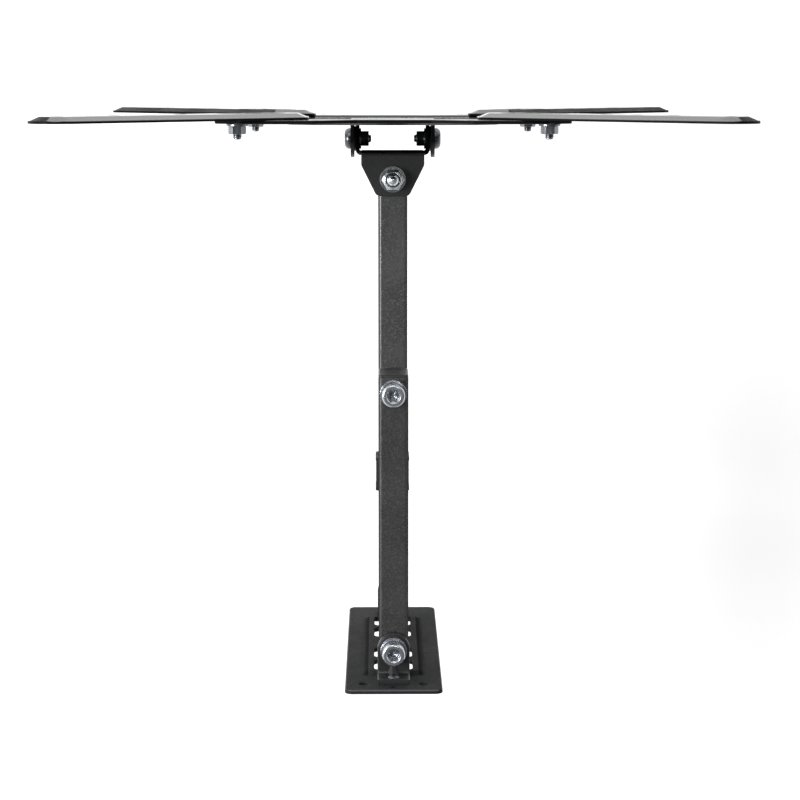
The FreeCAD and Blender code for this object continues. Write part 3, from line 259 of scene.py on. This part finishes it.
# Painted highlight: a paler, glossier line on the plate's rounded outer rim.
PAINTED_RIM_HIGHLIGHT = (0.075, 0.0765, 0.079)
RIM_GLOSS = -0.15
RIM_SIDE = 0.0313
RIM_END = 0.1088
RIM_EASE = 0.0004
flatness = math_node(plate_tree, "ABSOLUTE", split(plate_tree, facing(plate_tree))["Y"])
off_face = spread(plate_tree, flatness, 0.97, 0.80)
off_edge = spread(plate_tree, flatness, 0.05, 0.30)
rounding = math_node(plate_tree, "MULTIPLY", off_face, off_edge)
past_side = spread(plate_tree, from_middle, RIM_SIDE, RIM_SIDE + RIM_EASE)
past_end = spread(plate_tree, from_centre, RIM_END, RIM_END + RIM_EASE)
at_border = math_node(plate_tree, "MAXIMUM", past_side, past_end)
outer_rim = math_node(plate_tree, "MULTIPLY", rounding, at_border)
shade_by(plate_coat, outer_rim, PAINTED_RIM_HIGHLIGHT, RIM_GLOSS)
finish_with(plate_coat, "wall_plate")

# Pivot brackets
# Two folded steel angles, one over and one under the rear arm, each riveted to the wall plate.
# A smoother and slightly glossier black powder coat than the plate's.
BRACKET_BLACK = (0.018, 0.0184, 0.0190)
FINE_PEBBLE = 0.00003
bracket_coat = powder_coat("bracket_powder_coat", BRACKET_BLACK, roughness=0.40, pebble_height=FINE_PEBBLE,
                           fleck_share=0.22)
finish_with(bracket_coat, "upper_pivot_bracket", "lower_pivot_bracket")

# Rails of the rear arm
# Two lengths of rectangular steel tube, one above the other, with room for the forearm to fold in between.
# A greyer powder coat with an even light fleck, as the tubes are coated apart from the pressings.
RAIL_BLACK = (0.036, 0.036, 0.0362)
CORNER_SHADE_BLACK = (0.009, 0.0091, 0.0093)
CORNER_SHADE_DULLING = 0.30
CORNER_SHINE = 0.05


def tube_coat(name, colour, roughness):
    """The tubes' coat, with painted shade, dark and dull, on the outer half of the rounded corners."""
    made = powder_coat(name, colour, roughness, pebble_height=FINE_PEBBLE, fleck_share=0.45,
                       edge_width=0.0007)
    tree = made.node_tree
    steepness = math_node(tree, "ABSOLUTE", split(tree, facing(tree))["Z"])
    off_top = spread(tree, steepness, 0.76, 0.58)
    off_side = spread(tree, steepness, 0.02, 0.10)
    corner = math_node(tree, "MULTIPLY", off_top, off_side)
    # Painted shade on the outer half of the rounded corners.
    shade_by(made, corner, CORNER_SHADE_BLACK, CORNER_SHADE_DULLING, CORNER_SHINE)
    return made


rail_coat = tube_coat("tube_powder_coat", RAIL_BLACK, roughness=0.29)
finish_with(rail_coat, "upper_rail", "lower_rail")

# End caps of the tubes and the cable clip
# Black moulded plastic with a fine etched grain. The caps plug into the tube ends.
# The clip snaps over the lower rail and holds the cables against it.
MOULDED_EDGE = 0.0005


def moulded_plastic(name, colour, roughness, grain_scale, grain_height, shine=0.5):
    """Black plastic from an etched mould, a little shinier and paler where it is rubbed, the paler colour
    partly wear and partly a painted highlight.
    """
    made, tree, shader = blank_material(name)
    shader.inputs["Specular IOR Level"].default_value = shine
    grain = {"Pebble Scale": grain_scale, "Fleck Scale": grain_scale, "Tone Scale": 60.0}
    skin = put_group(tree, COAT_SKIN, grain)
    edges = put_group(tree, EDGE_WEAR_AND_HIGHLIGHT, {"Width": MOULDED_EDGE, "Patchiness": 220.0})
    toned = mixed(tree, skin["Tone"], tinted(colour, 0.75), colour)
    # Paler on the rims: partly wear, partly a painted highlight.
    wear_and_highlight = math_node(tree, "MULTIPLY", edges["Wear And Highlight"], 0.45)
    tree.links.new(mixed(tree, wear_and_highlight, toned, tinted(colour, 2.0, 0.01)), shader.inputs["Base Color"])
    uneven = spread(tree, skin["Tone"], 0.0, 1.0, roughness - 0.05, roughness + 0.05)
    tree.links.new(math_node(tree, "MULTIPLY_ADD", edges["Wear And Highlight"], -0.12, uneven), shader.inputs["Roughness"])
    tree.links.new(rounded_normal(tree, MOULDED_EDGE, skin["Height"], grain_height), shader.inputs["Normal"])
    return made


CAP_BLACK = (0.012, 0.0122, 0.0125)
cap_plastic = moulded_plastic("cap_plastic", CAP_BLACK, roughness=0.42, grain_scale=1900.0,
                              grain_height=0.00003)
finish_with(cap_plastic, "upper_rail_wall_cap", "upper_rail_elbow_cap", "lower_rail_wall_cap",
            "lower_rail_elbow_cap", "forearm_elbow_cap", "forearm_head_cap")
CLIP_BLACK = (0.008, 0.0081, 0.0083)
clip_plastic = moulded_plastic("clip_plastic", CLIP_BLACK, roughness=0.50, grain_scale=1600.0,
                               grain_height=0.00005, shine=0.15)
finish_with(clip_plastic, "cable_clip")

# Bushes and friction washers
# Black nylon bushes press into the tubes and run on the bolts; friction washers set a pivot's stiffness.
# Turned and moulded nylon, smooth and waxy, with the rings of the lock nuts in the same stuff.
NYLON_BLACK = (0.015, 0.015, 0.0155)
nylon = moulded_plastic("black_nylon", NYLON_BLACK, roughness=0.38, grain_scale=2600.0, grain_height=0.000015)
finish_with(nylon, "upper_rail_outer_bush", "upper_rail_inner_bush", "lower_rail_outer_bush",
            "lower_rail_inner_bush", "upper_elbow_bush", "lower_elbow_bush", "upper_head_bush",
            "lower_head_bush", "wall_pivot_friction_washers", "tilt_friction_washers", "wall_pivot_nut_ring",
            "elbow_nut_ring", "head_nut_ring")

# Pivot bolts, washers, springs, nuts and spacers
# Steel turned or stamped, then bright zinc plated: faint turning marks about each axis, a cool sheen,
# and painted shade that darkens the colour in the recesses and under neighbouring parts.


def turned_marks_effect():
    """Turned metal: fine rings about an axis through the given place, with plating clouds."""
    inputs = {"Ring Scale": 2600.0, "Cloud Scale": 320.0, "Place": None}
    tree, given, result = effect("turned_marks", inputs, ("Rings", "Cloud", "Scuff"))
    reach = vector_node(tree, "LENGTH", given["Place"], output="Value")
    wobble = math_node(tree, "MULTIPLY", noise(tree, given["Place"], 900.0, detail=1.0), 2.2)
    phase = math_node(tree, "MULTIPLY_ADD", reach, given["Ring Scale"], wobble)
    clouds = noise(tree, given["Place"], given["Cloud Scale"], detail=3.0, roughness=0.6)
    scuffs = place(tree, "ShaderNodeTexVoronoi", {"Vector": given["Place"], "Scale": 900.0}, feature="F1")
    tree.links.new(spread(tree, math_node(tree, "SINE", phase), -1.0, 1.0), result["Rings"])
    tree.links.new(spread(tree, clouds, NOISE_LOW, NOISE_HIGH), result["Cloud"])
    tree.links.new(spread(tree, scuffs.outputs["Distance"], 0.15, 0.65), result["Scuff"])
    return tree


def recess_shade_effect():
    """Recesses: how deep a point lies in a socket or under a neighbour, where the colour is darkened as
    painted shade.
    """
    tree, given, result = effect("recess_shade", {"Reach": 0.006}, ("Depth",))
    open_sky = place(tree, "ShaderNodeAmbientOcclusion", {"Distance": given["Reach"]}, samples=8)
    tree.links.new(spread(tree, open_sky.outputs["AO"], 0.76, 0.34), result["Depth"])
    return tree


TURNED_MARKS = turned_marks_effect()
RECESS_SHADE = recess_shade_effect()
BRIGHT_ZINC = (0.66, 0.695, 0.745)
PAINTED_RECESS_SHADE = (0.035, 0.038, 0.043)
RECESS_SHADE_SHARE = 0.55
ZINC_EDGE = 0.0003
RING_HEIGHT = 0.000006
SWELL_FLAT = 0.1
SWELL_RISE = 0.35


def zinc_plate(name, centre, axis, mirrored=False, roughness=0.15, colour=BRIGHT_ZINC, swell=0.0):
    """Zinc plate whose turning marks run round an axis through centre; mirrored does it at all four corners.

    Swell is the radius of the forged socket floor and cut tip, which are left a little domed."""
    made, tree, shader = blank_material(name)
    spot = object_place(tree)
    if mirrored:
        spot = vector_node(tree, "ABSOLUTE", spot)
    flat = tuple(0.0 if part else 1.0 for part in axis)
    across = vector_node(tree, "MULTIPLY", vector_node(tree, "SUBTRACT", spot, tuple(centre)), flat)
    marks = put_group(tree, TURNED_MARKS, {"Ring Scale": 9000.0, "Cloud Scale": 260.0, "Place": across})
    edges = put_group(tree, EDGE_WEAR_AND_HIGHLIGHT, {"Width": ZINC_EDGE, "Patchiness": 400.0})
    recess_shade = put_group(tree, RECESS_SHADE, {"Reach": 0.006})
    clouded = mixed(tree, marks["Cloud"], tinted(colour, 0.72), colour)
    # Painted shade: the zinc darkened towards near black in recesses and under neighbouring parts.
    recess_shade_amount = math_node(tree, "MULTIPLY", recess_shade["Depth"], RECESS_SHADE_SHARE)
    recess_shaded = mixed(tree, recess_shade_amount, clouded, PAINTED_RECESS_SHADE)
    # Brighter zinc on the rims: partly wear, partly a painted highlight.
    tree.links.new(mixed(tree, edges["Wear And Highlight"], recess_shaded, tinted(colour, 1.18)), shader.inputs["Base Color"])
    shader.inputs["Metallic"].default_value = 1.0
    uneven = spread(tree, marks["Cloud"], 0.0, 1.0, roughness + 0.08, roughness - 0.04)
    scuffed = math_node(tree, "MULTIPLY_ADD", marks["Scuff"], 0.06, uneven)
    tree.links.new(math_node(tree, "MULTIPLY_ADD", marks["Rings"], 0.04, scuffed), shader.inputs["Roughness"])
    normal = rounded_normal(tree, ZINC_EDGE, marks["Rings"], RING_HEIGHT)
    if swell:
        reach = vector_node(tree, "LENGTH", across, output="Value")
        dome = spread(tree, reach, swell, SWELL_FLAT * swell, 0.0, SWELL_RISE * swell)
        relief = {"Height": dome, "Distance": 1.0, "Normal": normal}
        normal = place(tree, "ShaderNodeBump", relief).outputs["Normal"]
    tree.links.new(normal, shader.inputs["Normal"])
    return made


def middle_of(name):
    """The middle of a CAD piece."""
    low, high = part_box(name)
    return (low + high) / 2


UPRIGHT = (0, 0, 1)
SWELL = 0.0030
wall_zinc = zinc_plate("wall_pivot_zinc", middle_of("wall_pivot_bolt"), UPRIGHT, swell=SWELL)
finish_with(wall_zinc, "wall_pivot_bolt", "wall_pivot_washers", "wall_pivot_disc_springs", "wall_pivot_nut",
            "wall_pivot_spacer")
elbow_zinc = zinc_plate("elbow_zinc", middle_of("elbow_bolt"), UPRIGHT, swell=SWELL)
finish_with(elbow_zinc, "elbow_bolt", "elbow_washers", "elbow_disc_springs", "elbow_nut",
            "upper_elbow_sleeve", "lower_elbow_sleeve", "upper_elbow_spacer", "lower_elbow_spacer")
HEAD_ZINC = (0.74, 0.775, 0.82)
head_zinc = zinc_plate("head_zinc", middle_of("head_bolt"), UPRIGHT, roughness=0.12, colour=HEAD_ZINC,
                       swell=SWELL)
finish_with(head_zinc, "head_bolt", "head_nut")
# The washers under the head nut take a darker copy of the zinc colour, as painted shade.
SHADED_WASHER_ZINC = (0.325, 0.345, 0.365)
head_washer_zinc = zinc_plate("head_washer_zinc", middle_of("head_bolt"), UPRIGHT, roughness=0.22,
                              colour=SHADED_WASHER_ZINC)
finish_with(head_washer_zinc, "head_washers")

# Rolled threads of the pivot bolts
# The cut end of each M8 bolt stands out of its lock nut, its thread rolled into the steel before plating.
# The ridge starts inside the nut and runs out in the chamfer at the tip.
THREAD_STEPS = 40
THREAD_BITE = 0.00008
THREAD_ENDS = 0.9
THREAD_FOOT = 0.44
THREAD_TOP = 0.07
TIP_TAPER = 0.0008
CREASE = math.radians(32)


def join_to(mesh, part):
    """Moves a finished shape into another."""
    data = bpy.data.meshes.new("joined")
    part.to_mesh(data)
    part.free()
    mesh.from_mesh(data)
    bpy.data.meshes.remove(data)


def thread_ridge(mesh, inner, tip, root, crest, pitch):
    """One helical ridge about the line from a point inside the nut to the bolt's tip."""
    along = tip - inner
    turns = along.length / pitch - THREAD_ENDS
    foot = THREAD_FOOT * pitch
    top = THREAD_TOP * pitch
    ridge = bmesh.new()
    profile = ((root - THREAD_BITE, -foot), (crest, -top), (crest, top), (root - THREAD_BITE, foot))
    ridge.faces.new([ridge.verts.new((reach, 0, level)) for reach, level in profile])
    bmesh.ops.spin(ridge, geom=ridge.verts[:] + ridge.edges[:] + ridge.faces[:], cent=(0, 0, 0), axis=UPRIGHT,
                   dvec=(0, 0, pitch / THREAD_STEPS), angle=turns * math.tau,
                   steps=round(turns * THREAD_STEPS))
    bmesh.ops.translate(ridge, verts=ridge.verts, vec=(0, 0, foot))
    for corner in ridge.verts:
        reach = corner.co.xy.length
        most = root - TIP_TAPER + max(0.0, along.length - corner.co.z)
        if reach > most:
            corner.co.xy *= most / reach
    bmesh.ops.recalc_face_normals(ridge, faces=ridge.faces)
    turned = along.to_track_quat("Z", "Y").to_matrix().to_4x4()
    bmesh.ops.transform(ridge, verts=ridge.verts, matrix=Matrix.Translation(inner) @ turned)
    join_to(mesh, ridge)


def add_piece(name, mesh, material, body):
    """A finished piece on its body, smooth but for its creases, with its material."""
    for face in mesh.faces:
        face.smooth = True
    for edge in mesh.edges:
        edge.smooth = edge.calc_face_angle(0.0) < CREASE
    data = bpy.data.meshes.new(name)
    mesh.to_mesh(data)
    mesh.free()
    data.materials.append(material)
    piece = bpy.data.objects.new(name, data)
    bpy.context.scene.collection.objects.link(piece)
    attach(piece, body)
    return piece


def end_of(name, side):
    """The middle of a CAD piece's upper or lower end."""
    low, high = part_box(name)
    return Vector((*middle_of(name).xy, high.z if side > 0 else low.z))


PIVOT_ROOT = 0.00335
PIVOT_CREST = 0.0040
PIVOT_PITCH = 0.00125
PIVOT_STUB = 0.0042
PIVOTS = (("wall_pivot", -1, wall_zinc, "wall"), ("elbow", -1, elbow_zinc, "rear_arm"),
          ("head", 1, head_zinc, "head"))
for pivot, nut_side, zinc, body in PIVOTS:
    tip = end_of(pivot + "_bolt", nut_side)
    inner = tip - Vector((0, 0, nut_side * PIVOT_STUB))
    threads = bmesh.new()
    thread_ridge(threads, inner, tip, PIVOT_ROOT, PIVOT_CREST, PIVOT_PITCH)
    add_piece(pivot + "_bolt_thread", threads, zinc, body)

# Lock nuts of the pivots
# Cold-formed steel nuts, chamfered at both ends, with a collar rolled in over the nylon ring.
# They stand for the plainer CAD nuts, on the same seats and in the same sizes.
NUT_FLATS = 0.0135
NUT_BODY = 0.0062
NUT_BORE = 0.0081
NUT_CHAMFER = math.tan(math.radians(30))
NUT_SEGMENTS = 96
CHAMFER_CUTS = (0.2, 0.42, 0.6, 0.8, 1.0)
COLLAR_OUTER = 0.0060
COLLAR_INNER = 0.00492
COLLAR_TOP = 0.0080
COLLAR_SINK = 0.0001
COLLAR_DISH = 0.00005
COLLAR_ROLL = 0.0009
ROLL_STEPS = 5
SAME_LEVEL = 1e-6
CUT_SNAP = 1e-7


def open_tube(mesh, radius, height):
    """The corners of a new open tube that stands on zero."""
    made = bmesh.ops.create_cone(mesh, cap_ends=False, segments=NUT_SEGMENTS, radius1=radius, radius2=radius,
                                 depth=height)["verts"]
    bmesh.ops.translate(mesh, verts=made, vec=(0, 0, height / 2))
    return made


def rim_edges(mesh, corners, level):
    """The edges that lie at one level among some corners."""
    at_level = {corner for corner in corners if abs(corner.co.z - level) < SAME_LEVEL}
    return [edge for edge in mesh.edges if edge.verts[0] in at_level and edge.verts[1] in at_level]


def rolled_collar():
    """The ring at the nut's crown, its rim rolled inwards."""
    shoulder = COLLAR_TOP - COLLAR_ROLL
    profile = [(COLLAR_INNER, NUT_BODY - COLLAR_SINK), (COLLAR_OUTER, NUT_BODY - COLLAR_SINK),
               (COLLAR_OUTER, shoulder)]
    for step in range(1, ROLL_STEPS + 1):
        turn = math.radians(90) * step / ROLL_STEPS
        reach = COLLAR_OUTER - COLLAR_ROLL * (1 - math.cos(turn))
        profile.append((reach, shoulder + COLLAR_ROLL * math.sin(turn)))
    profile.append((COLLAR_INNER, COLLAR_TOP - COLLAR_DISH))
    collar = bmesh.new()
    spots = [collar.verts.new((reach, 0, level)) for reach, level in profile]
    for first, second in zip(spots, spots[1:] + spots[:1]):
        collar.edges.new((first, second))
    bmesh.ops.spin(collar, geom=collar.verts[:] + collar.edges[:], cent=(0, 0, 0), axis=UPRIGHT,
                   angle=math.tau, steps=NUT_SEGMENTS, use_merge=True)
    return collar


def lock_nut(seat, side):
    """A six-sided nut with a rolled collar, standing on seat and facing up or down."""
    nut = bmesh.new()
    open_tube(nut, NUT_FLATS / 2, NUT_BODY)
    corner_reach = NUT_FLATS / math.sqrt(3)
    for share in CHAMFER_CUTS:
        for level in (share * (corner_reach - NUT_FLATS / 2) * NUT_CHAMFER,
                      NUT_BODY - share * (corner_reach - COLLAR_OUTER) * NUT_CHAMFER):
            bmesh.ops.bisect_plane(nut, geom=nut.verts[:] + nut.edges[:] + nut.faces[:], dist=CUT_SNAP,
                                   plane_co=(0, 0, level), plane_no=UPRIGHT)
    outside = nut.verts[:]
    for corner in outside:
        turn = math.atan2(corner.co.y, corner.co.x) % math.radians(60) - math.radians(30)
        to_flat = NUT_FLATS / 2 / math.cos(turn)
        over_seat = NUT_FLATS / 2 + corner.co.z / NUT_CHAMFER
        under_collar = COLLAR_OUTER + (NUT_BODY - corner.co.z) / NUT_CHAMFER
        corner.co.xy = corner.co.xy.normalized() * min(to_flat, over_seat, under_collar)
    inside = open_tube(nut, NUT_BORE / 2, NUT_BODY)
    for level in (0.0, NUT_BODY):
        bmesh.ops.bridge_loops(nut, edges=rim_edges(nut, outside, level) + rim_edges(nut, inside, level))
    join_to(nut, rolled_collar())
    bmesh.ops.recalc_face_normals(nut, faces=nut.faces)
    if side < 0:
        bmesh.ops.rotate(nut, verts=nut.verts, cent=(0, 0, 0), matrix=Matrix.Rotation(math.pi, 3, "X"))
    bmesh.ops.translate(nut, verts=nut.verts, vec=seat)
    return nut


for pivot, nut_side, zinc, body in PIVOTS:
    nut_name = pivot + "_nut"
    nut_shape = lock_nut(end_of(nut_name, -nut_side), nut_side)
    rolled = add_piece(nut_name + "_rolled", nut_shape, zinc, body)
    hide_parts(nut_name)

# Bracket rivets
# Two domed steel rivets, set through the pivot brackets into the wall plate.
# Plated like the bolts and tumbled to a duller finish, in a darker copy of the zinc colour as painted shade.
OUTWARD = (0, 1, 0)
RIVET_SHADED_ZINC = (0.16, 0.17, 0.18)
low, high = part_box("bracket_rivets")
rivet_spot = (0.0, 0.0, high.z - (high.x - low.x) / 2)
rivet_zinc = zinc_plate("rivet_zinc", rivet_spot, OUTWARD, mirrored=True, roughness=0.36, colour=RIVET_SHADED_ZINC)
finish_with(rivet_zinc, "bracket_rivets")

# Forearm
# A single length of the same rectangular tube, between the elbow bolt and the swivel head.
# Coated like the rails, in a greyer copy of their colour as painted light, because the forearm faces the
# light.
FOREARM_LIT_BLACK = (0.055, 0.055, 0.0552)
forearm_coat = tube_coat("forearm_powder_coat", FOREARM_LIT_BLACK, roughness=0.27)
finish_with(forearm_coat, "forearm_tube")

# Swivel head
# One folded steel sheet: two tapered ears about the forearm and two tabs that carry the tilt bolts.
# Smooth black coat, deeper than the tubes', with painted shade, near black and without shine, on the web that
# faces the screen.
HEAD_BLACK = (0.018, 0.0187, 0.0193)
HEAD_REACH = 0.0185
WEB_FADE_FROM = 0.0016
WEB_FADE_TO = 0.0004
head_coat = powder_coat("head_powder_coat", HEAD_BLACK, roughness=0.52, pebble_height=FINE_PEBBLE,
                        fleck_share=0.18, shine=0.25)
head_tree = head_coat.node_tree
web_front = middle_of("head_bolt").y - HEAD_REACH
depth = split(head_tree, object_place(head_tree))["Y"]
# Painted shade on the web's front face.
in_front = spread(head_tree, depth, web_front + WEB_FADE_FROM, web_front + WEB_FADE_TO)
shade_by(head_coat, in_front, PAINTED_SHADE_BLACK, SHADE_DULLING, shine=0.0)
finish_with(head_coat, "head_bracket")

# Television plate and its four arms
# Pressed steel sheet in a satin black coat, greyer on the arms, with painted shade on cut edges and outer
# slopes.
# The arms lie on the plate, slotted to slide, each held by one bolt through its dish.
SCREEN_BLACK = (0.011, 0.0112, 0.0115)
ARM_BLACK = (0.052, 0.0522, 0.0526)
SMOOTH_PEBBLE = 0.00001
EDGE_SHINE = 0.05


def cut_edges(tree):
    """Where a sheet is cut across its thickness."""
    return spread(tree, math_node(tree, "ABSOLUTE", split(tree, facing(tree))["Y"]), 0.35, 0.10)


def outer_slopes(tree):
    """Where a pressed slope faces away from the middle of the plate."""
    side = math_node(tree, "SIGN", split(tree, object_place(tree))["X"])
    outward = math_node(tree, "MULTIPLY", side, split(tree, facing(tree))["X"])
    return spread(tree, outward, 0.04, 0.14)


screen_coat = powder_coat("screen_powder_coat", SCREEN_BLACK, roughness=0.20, pebble_height=SMOOTH_PEBBLE,
                          fleck_share=0.22, shine=0.40)
# Painted shade on the plate's cut edges.
shade_by(screen_coat, cut_edges(screen_coat.node_tree), PAINTED_SHADE_BLACK, SHADE_DULLING, EDGE_SHINE)
finish_with(screen_coat, "tv_plate")
arm_coat = powder_coat("arm_powder_coat", ARM_BLACK, roughness=0.14, pebble_height=SMOOTH_PEBBLE,
                       fleck_share=0.30, shine=1.0)
arm_tree = arm_coat.node_tree
# Painted shade on the arms' cut edges and outer slopes.
edge_and_slope_shade = math_node(arm_tree, "MAXIMUM", cut_edges(arm_tree), outer_slopes(arm_tree))
shade_by(arm_coat, edge_and_slope_shade, PAINTED_SHADE_BLACK, SHADE_DULLING, EDGE_SHINE)
finish_with(arm_coat, "upper_left_arm", "upper_right_arm", "lower_left_arm", "lower_right_arm")

# Arm bolts and tilt bolts
# M6 steel hardware, zinc plated, with darker copies of the zinc colour as painted shade: low domed heads in
# the dishes of the arms, washers and nuts behind the plate, and a pair of domed bolts that clamp the tilt
# hinge.
SIDEWAYS = (1, 0, 0)
ARM_BOLT_REACH = 0.100
ARM_SHADED_ZINC = (0.24, 0.255, 0.275)
TILT_SHADED_ZINC = (0.15, 0.16, 0.17)
arm_bolt_spot = (ARM_BOLT_REACH, 0.0, ARM_BOLT_REACH)
arm_zinc = zinc_plate("arm_bolt_zinc", arm_bolt_spot, OUTWARD, mirrored=True, colour=ARM_SHADED_ZINC)
finish_with(arm_zinc, "arm_bolts", "arm_washers", "arm_nuts")
tilt_middle = middle_of("tilt_bolts")
tilt_zinc = zinc_plate("tilt_zinc", tilt_middle, SIDEWAYS, colour=TILT_SHADED_ZINC)
finish_with(tilt_zinc, "tilt_bolts", "tilt_washers", "tilt_nuts")
SMALL_ROOT = 0.00245
SMALL_CREST = 0.0030
SMALL_PITCH = 0.0010
SMALL_STUB = 0.0052
arm_bolt_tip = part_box("arm_bolts")[1].y
arm_threads = bmesh.new()
for side_x in (-1, 1):
    for side_z in (-1, 1):
        tip = Vector((side_x * ARM_BOLT_REACH, arm_bolt_tip, side_z * ARM_BOLT_REACH))
        inner = tip - Vector((0, SMALL_STUB, 0))
        thread_ridge(arm_threads, inner, tip, SMALL_ROOT, SMALL_CREST, SMALL_PITCH)
add_piece("arm_bolt_threads", arm_threads, arm_zinc, "screen_plate")
TILT_TIP = 0.0147
tilt_threads = bmesh.new()
for side in (-1, 1):
    tip = Vector((side * TILT_TIP, tilt_middle.y, tilt_middle.z))
    inner = tip + Vector((side * SMALL_STUB, 0, 0))
    thread_ridge(tilt_threads, inner, tip, SMALL_ROOT, SMALL_CREST, SMALL_PITCH)
add_piece("tilt_bolt_threads", tilt_threads, tilt_zinc, "screen_plate")

# Floor, lights and camera
# A plain white floor below the mount, lifted to white as it runs off, in a grey studio with three soft boxes:
# the key beside the arm gives the tubes one bright edge, and a small one overhead glints on the washers.
FLOOR_WHITE = (0.93, 0.93, 0.93)
FLOOR_ROUGHNESS = 0.9
FLOOR_LIFT = 0.30
FAR_LIFT = 0.75
LIFT_FROM = 0.5
LIFT_TO = 3.0
FLOOR_DROP = 0.10
FLOOR_HALF = 6.0
WHITE = (1.0, 1.0, 1.0)
lowest = cad_box[0][2]
floor_mesh = bmesh.new()
bmesh.ops.create_grid(floor_mesh, x_segments=1, y_segments=1, size=FLOOR_HALF)
bmesh.ops.translate(floor_mesh, verts=floor_mesh.verts, vec=(0, 0, lowest - FLOOR_DROP))
floor_data = bpy.data.meshes.new("floor")
floor_mesh.to_mesh(floor_data)
floor_mesh.free()
floor = bpy.data.objects.new("floor", floor_data)
bpy.context.scene.collection.objects.link(floor)
floor_paint, floor_tree, floor_shader = blank_material("floor_paint")
floor_shader.inputs["Base Color"].default_value = (*FLOOR_WHITE, 1.0)
floor_shader.inputs["Roughness"].default_value = FLOOR_ROUGHNESS
floor_shader.inputs["Emission Color"].default_value = (*WHITE, 1.0)
seen = floor_tree.nodes.new("ShaderNodeLightPath").outputs
in_mirror = math_node(floor_tree, "MAXIMUM", seen["Is Glossy Ray"], seen["Is Transmission Ray"])
plainly = math_node(floor_tree, "MAXIMUM", seen["Is Camera Ray"], in_mirror)
floor_reach = vector_node(floor_tree, "LENGTH", object_place(floor_tree), output="Value")
lift = spread(floor_tree, floor_reach, LIFT_FROM, LIFT_TO, FLOOR_LIFT, FAR_LIFT)
glow = math_node(floor_tree, "MULTIPLY", plainly, lift)
floor_tree.links.new(glow, floor_shader.inputs["Emission Strength"])
floor_data.materials.append(floor_paint)

HORIZON_GREY = 0.85
ZENITH_GREY = 0.24
NEAR_SIDE = 1.20
FAR_SIDE = 0.40
world = bpy.data.worlds.new("studio")
bpy.context.scene.world = world
world.use_nodes = True
sky_tree = world.node_tree
sky = sky_tree.nodes["Background"]
ways = split(sky_tree, sky_tree.nodes.new("ShaderNodeTexCoord").outputs["Generated"])
by_height = spread(sky_tree, ways["Z"], 0.25, 0.95, HORIZON_GREY, ZENITH_GREY)
by_side = spread(sky_tree, ways["X"], -0.9, 0.9, FAR_SIDE, NEAR_SIDE)
room = math_node(sky_tree, "MULTIPLY", by_height, by_side)
low_down = spread(sky_tree, ways["Z"], 0.32, 0.06)
sky_tree.links.new(mixed(sky_tree, low_down, room, WHITE), sky.inputs["Color"])
MOUNT_MIDDLE = Vector((0, -0.19, 0))


def soft_light(name, spot, size, power):
    """A square soft box facing the middle of the mount."""
    data = bpy.data.lights.new(name, "AREA")
    data.size = size
    data.energy = power
    lamp = bpy.data.objects.new(name, data)
    lamp.location = spot
    lamp.rotation_euler = (MOUNT_MIDDLE - Vector(spot)).to_track_quat("-Z", "Y").to_euler()
    bpy.context.scene.collection.objects.link(lamp)


soft_light("key_light", spot=(1.5, -0.4, 1.4), size=0.8, power=40)
soft_light("front_light", spot=(0.3, -1.8, 1.3), size=1.2, power=9)
soft_light("top_light", spot=(-0.45, -0.9, 2.2), size=0.5, power=5)

SENSOR = 36.0
FRAME_PIXELS = 800
FOCAL_PIXELS = 2087.0
CAMERA_SPOT = Vector((0.0083, -0.4041, 1.4472))
CAMERA_AIM = Vector((-0.0051, -0.1803, 0.0))
IMAGE_UP = Vector((0, -1, 0))
NEAR_CLIP = 0.01
camera_data = bpy.data.cameras.new("camera")
camera_data.sensor_width = SENSOR
camera_data.lens = FOCAL_PIXELS / FRAME_PIXELS * SENSOR
camera_data.clip_start = NEAR_CLIP
camera = bpy.data.objects.new("camera", camera_data)
bpy.context.scene.collection.objects.link(camera)
forward = (CAMERA_AIM - CAMERA_SPOT).normalized()
right = forward.cross(IMAGE_UP).normalized()
up = right.cross(forward)
looking = Matrix((right, up, -forward)).transposed().to_4x4()
camera.matrix_world = Matrix.Translation(CAMERA_SPOT) @ looking
bpy.context.scene.camera = camera
bpy.context.scene.view_settings.view_transform = "Standard"
